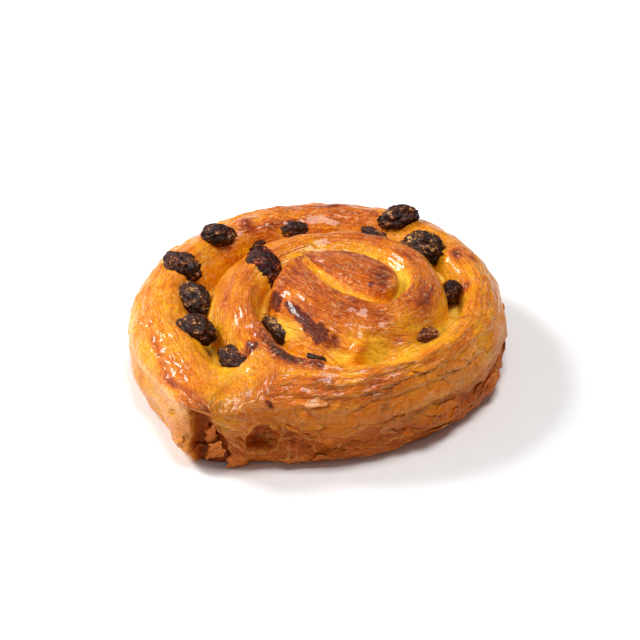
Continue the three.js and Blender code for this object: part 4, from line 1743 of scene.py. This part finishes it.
@dataclass(frozen=True)
class Studio:
    """The pale floor, the soft lights and the camera at the photograph's angle, in metres and degrees."""

    elevation: float = 36.0
    distance: float = 0.6
    aim: tuple = (0.0, 0.0, 0.0156)
    lens: float = 115.1
    sensor: float = 36.0
    floor_half: float = 1.5
    sky: float = 0.16
    lights: tuple = (
        ("key", (-0.62, 0.26, 0.58), 0.26, 7.2),
        ("top", (0.15, -0.05, 1.1), 0.4, 8.3),
        ("fill", (-0.75, -0.25, 0.3), 0.5, 0.8),
    )

    def build(self, shift: Array) -> None:
        """Sets the stage.

        Args:
            shift: From the roll's own plan to the frame, in millimetres.
        """
        self.lay_floor()
        self.hang_lights()
        e = math.radians(self.elevation)
        aim = np.array(self.aim) + shift * MM
        camera = bpy.data.cameras.new("photo_camera")
        camera.lens = self.lens
        camera.sensor_width = self.sensor
        camera.clip_start = 0.01
        stand = bpy.data.objects.new("photo_camera", camera)
        stand.location = aim + self.distance * np.array([0, -math.cos(e), math.sin(e)])
        stand.rotation_euler = (math.pi / 2 - e, 0, 0)
        bpy.context.scene.collection.objects.link(stand)
        bpy.context.scene.camera = stand
        bpy.context.scene.view_settings.view_transform = "Standard"

    def lay_floor(self) -> None:
        """Lays the pale floor."""
        table = Pattern("pale_table")
        colour = table.colours(table.spots(25, 2), ((0.3, "#F6F6F6"), (0.7, "#FAFAFA")))
        material = table.close(0.0, 0.0, {"Base Color": colour, "Roughness": 0.7})
        half = self.floor_half / MM
        corners = np.array([[-half, -half, 0], [half, -half, 0], [half, half, 0], [-half, half, 0]])
        floor = to_mesh("floor", corners, [[0, 1, 2, 3]], material)

    def hang_lights(self) -> None:
        """Hangs the soft lights: the key behind on the left, one above, a fill in front, and a pale sky."""
        for name, at, size, power in self.lights:
            lamp = bpy.data.lights.new(name, "AREA")
            lamp.size = size
            lamp.energy = power
            holder = bpy.data.objects.new(name, lamp)
            holder.location = at
            towards = -np.array(at)
            yaw = math.atan2(towards[1], towards[0])
            drop = math.atan2(-towards[2], math.hypot(towards[0], towards[1]))
            holder.rotation_euler = (math.pi / 2 - drop, 0, yaw - math.pi / 2)
            bpy.context.scene.collection.objects.link(holder)
        world = bpy.data.worlds.new("soft_sky")
        world.use_nodes = True
        background = world.node_tree.nodes["Background"]
        background.inputs["Color"].default_value = linear("#FFFFFF")
        background.inputs["Strength"].default_value = self.sky
        bpy.context.scene.world = world


def main() -> None:
    """Builds the danish and its stage in order, and reports each piece."""
    logging.basicConfig(level=logging.INFO, format="%(message)s")
    roll = Roll()
    dough = Dough(roll, Grid())
    piece = dough.build(CrustFinish().make())
    finish_piece(piece, Slot.CRUST, "dough")
    finish_piece(Flakes().build(piece, piece.data.materials[0]), Slot.CRUST)
    finish_piece(TornSheets(roll).build(dough.shift, piece.data.materials[0]), Slot.CRUST)
    custard = Custard(roll).build(dough.shift, CustardFinish().make())
    finish_piece(custard, Slot.CUSTARD, "custard")
    skins = {skin: RaisinFinish(skin).make() for skin in Skin}
    for k, raisin in enumerate(Raisins(roll).build(dough.shift, skins)):
        finish_piece(raisin, Slot.RAISIN, f"raisin_{k + 1:02d}")
    Studio().build(dough.shift)


if __name__ == "__main__":
    main()
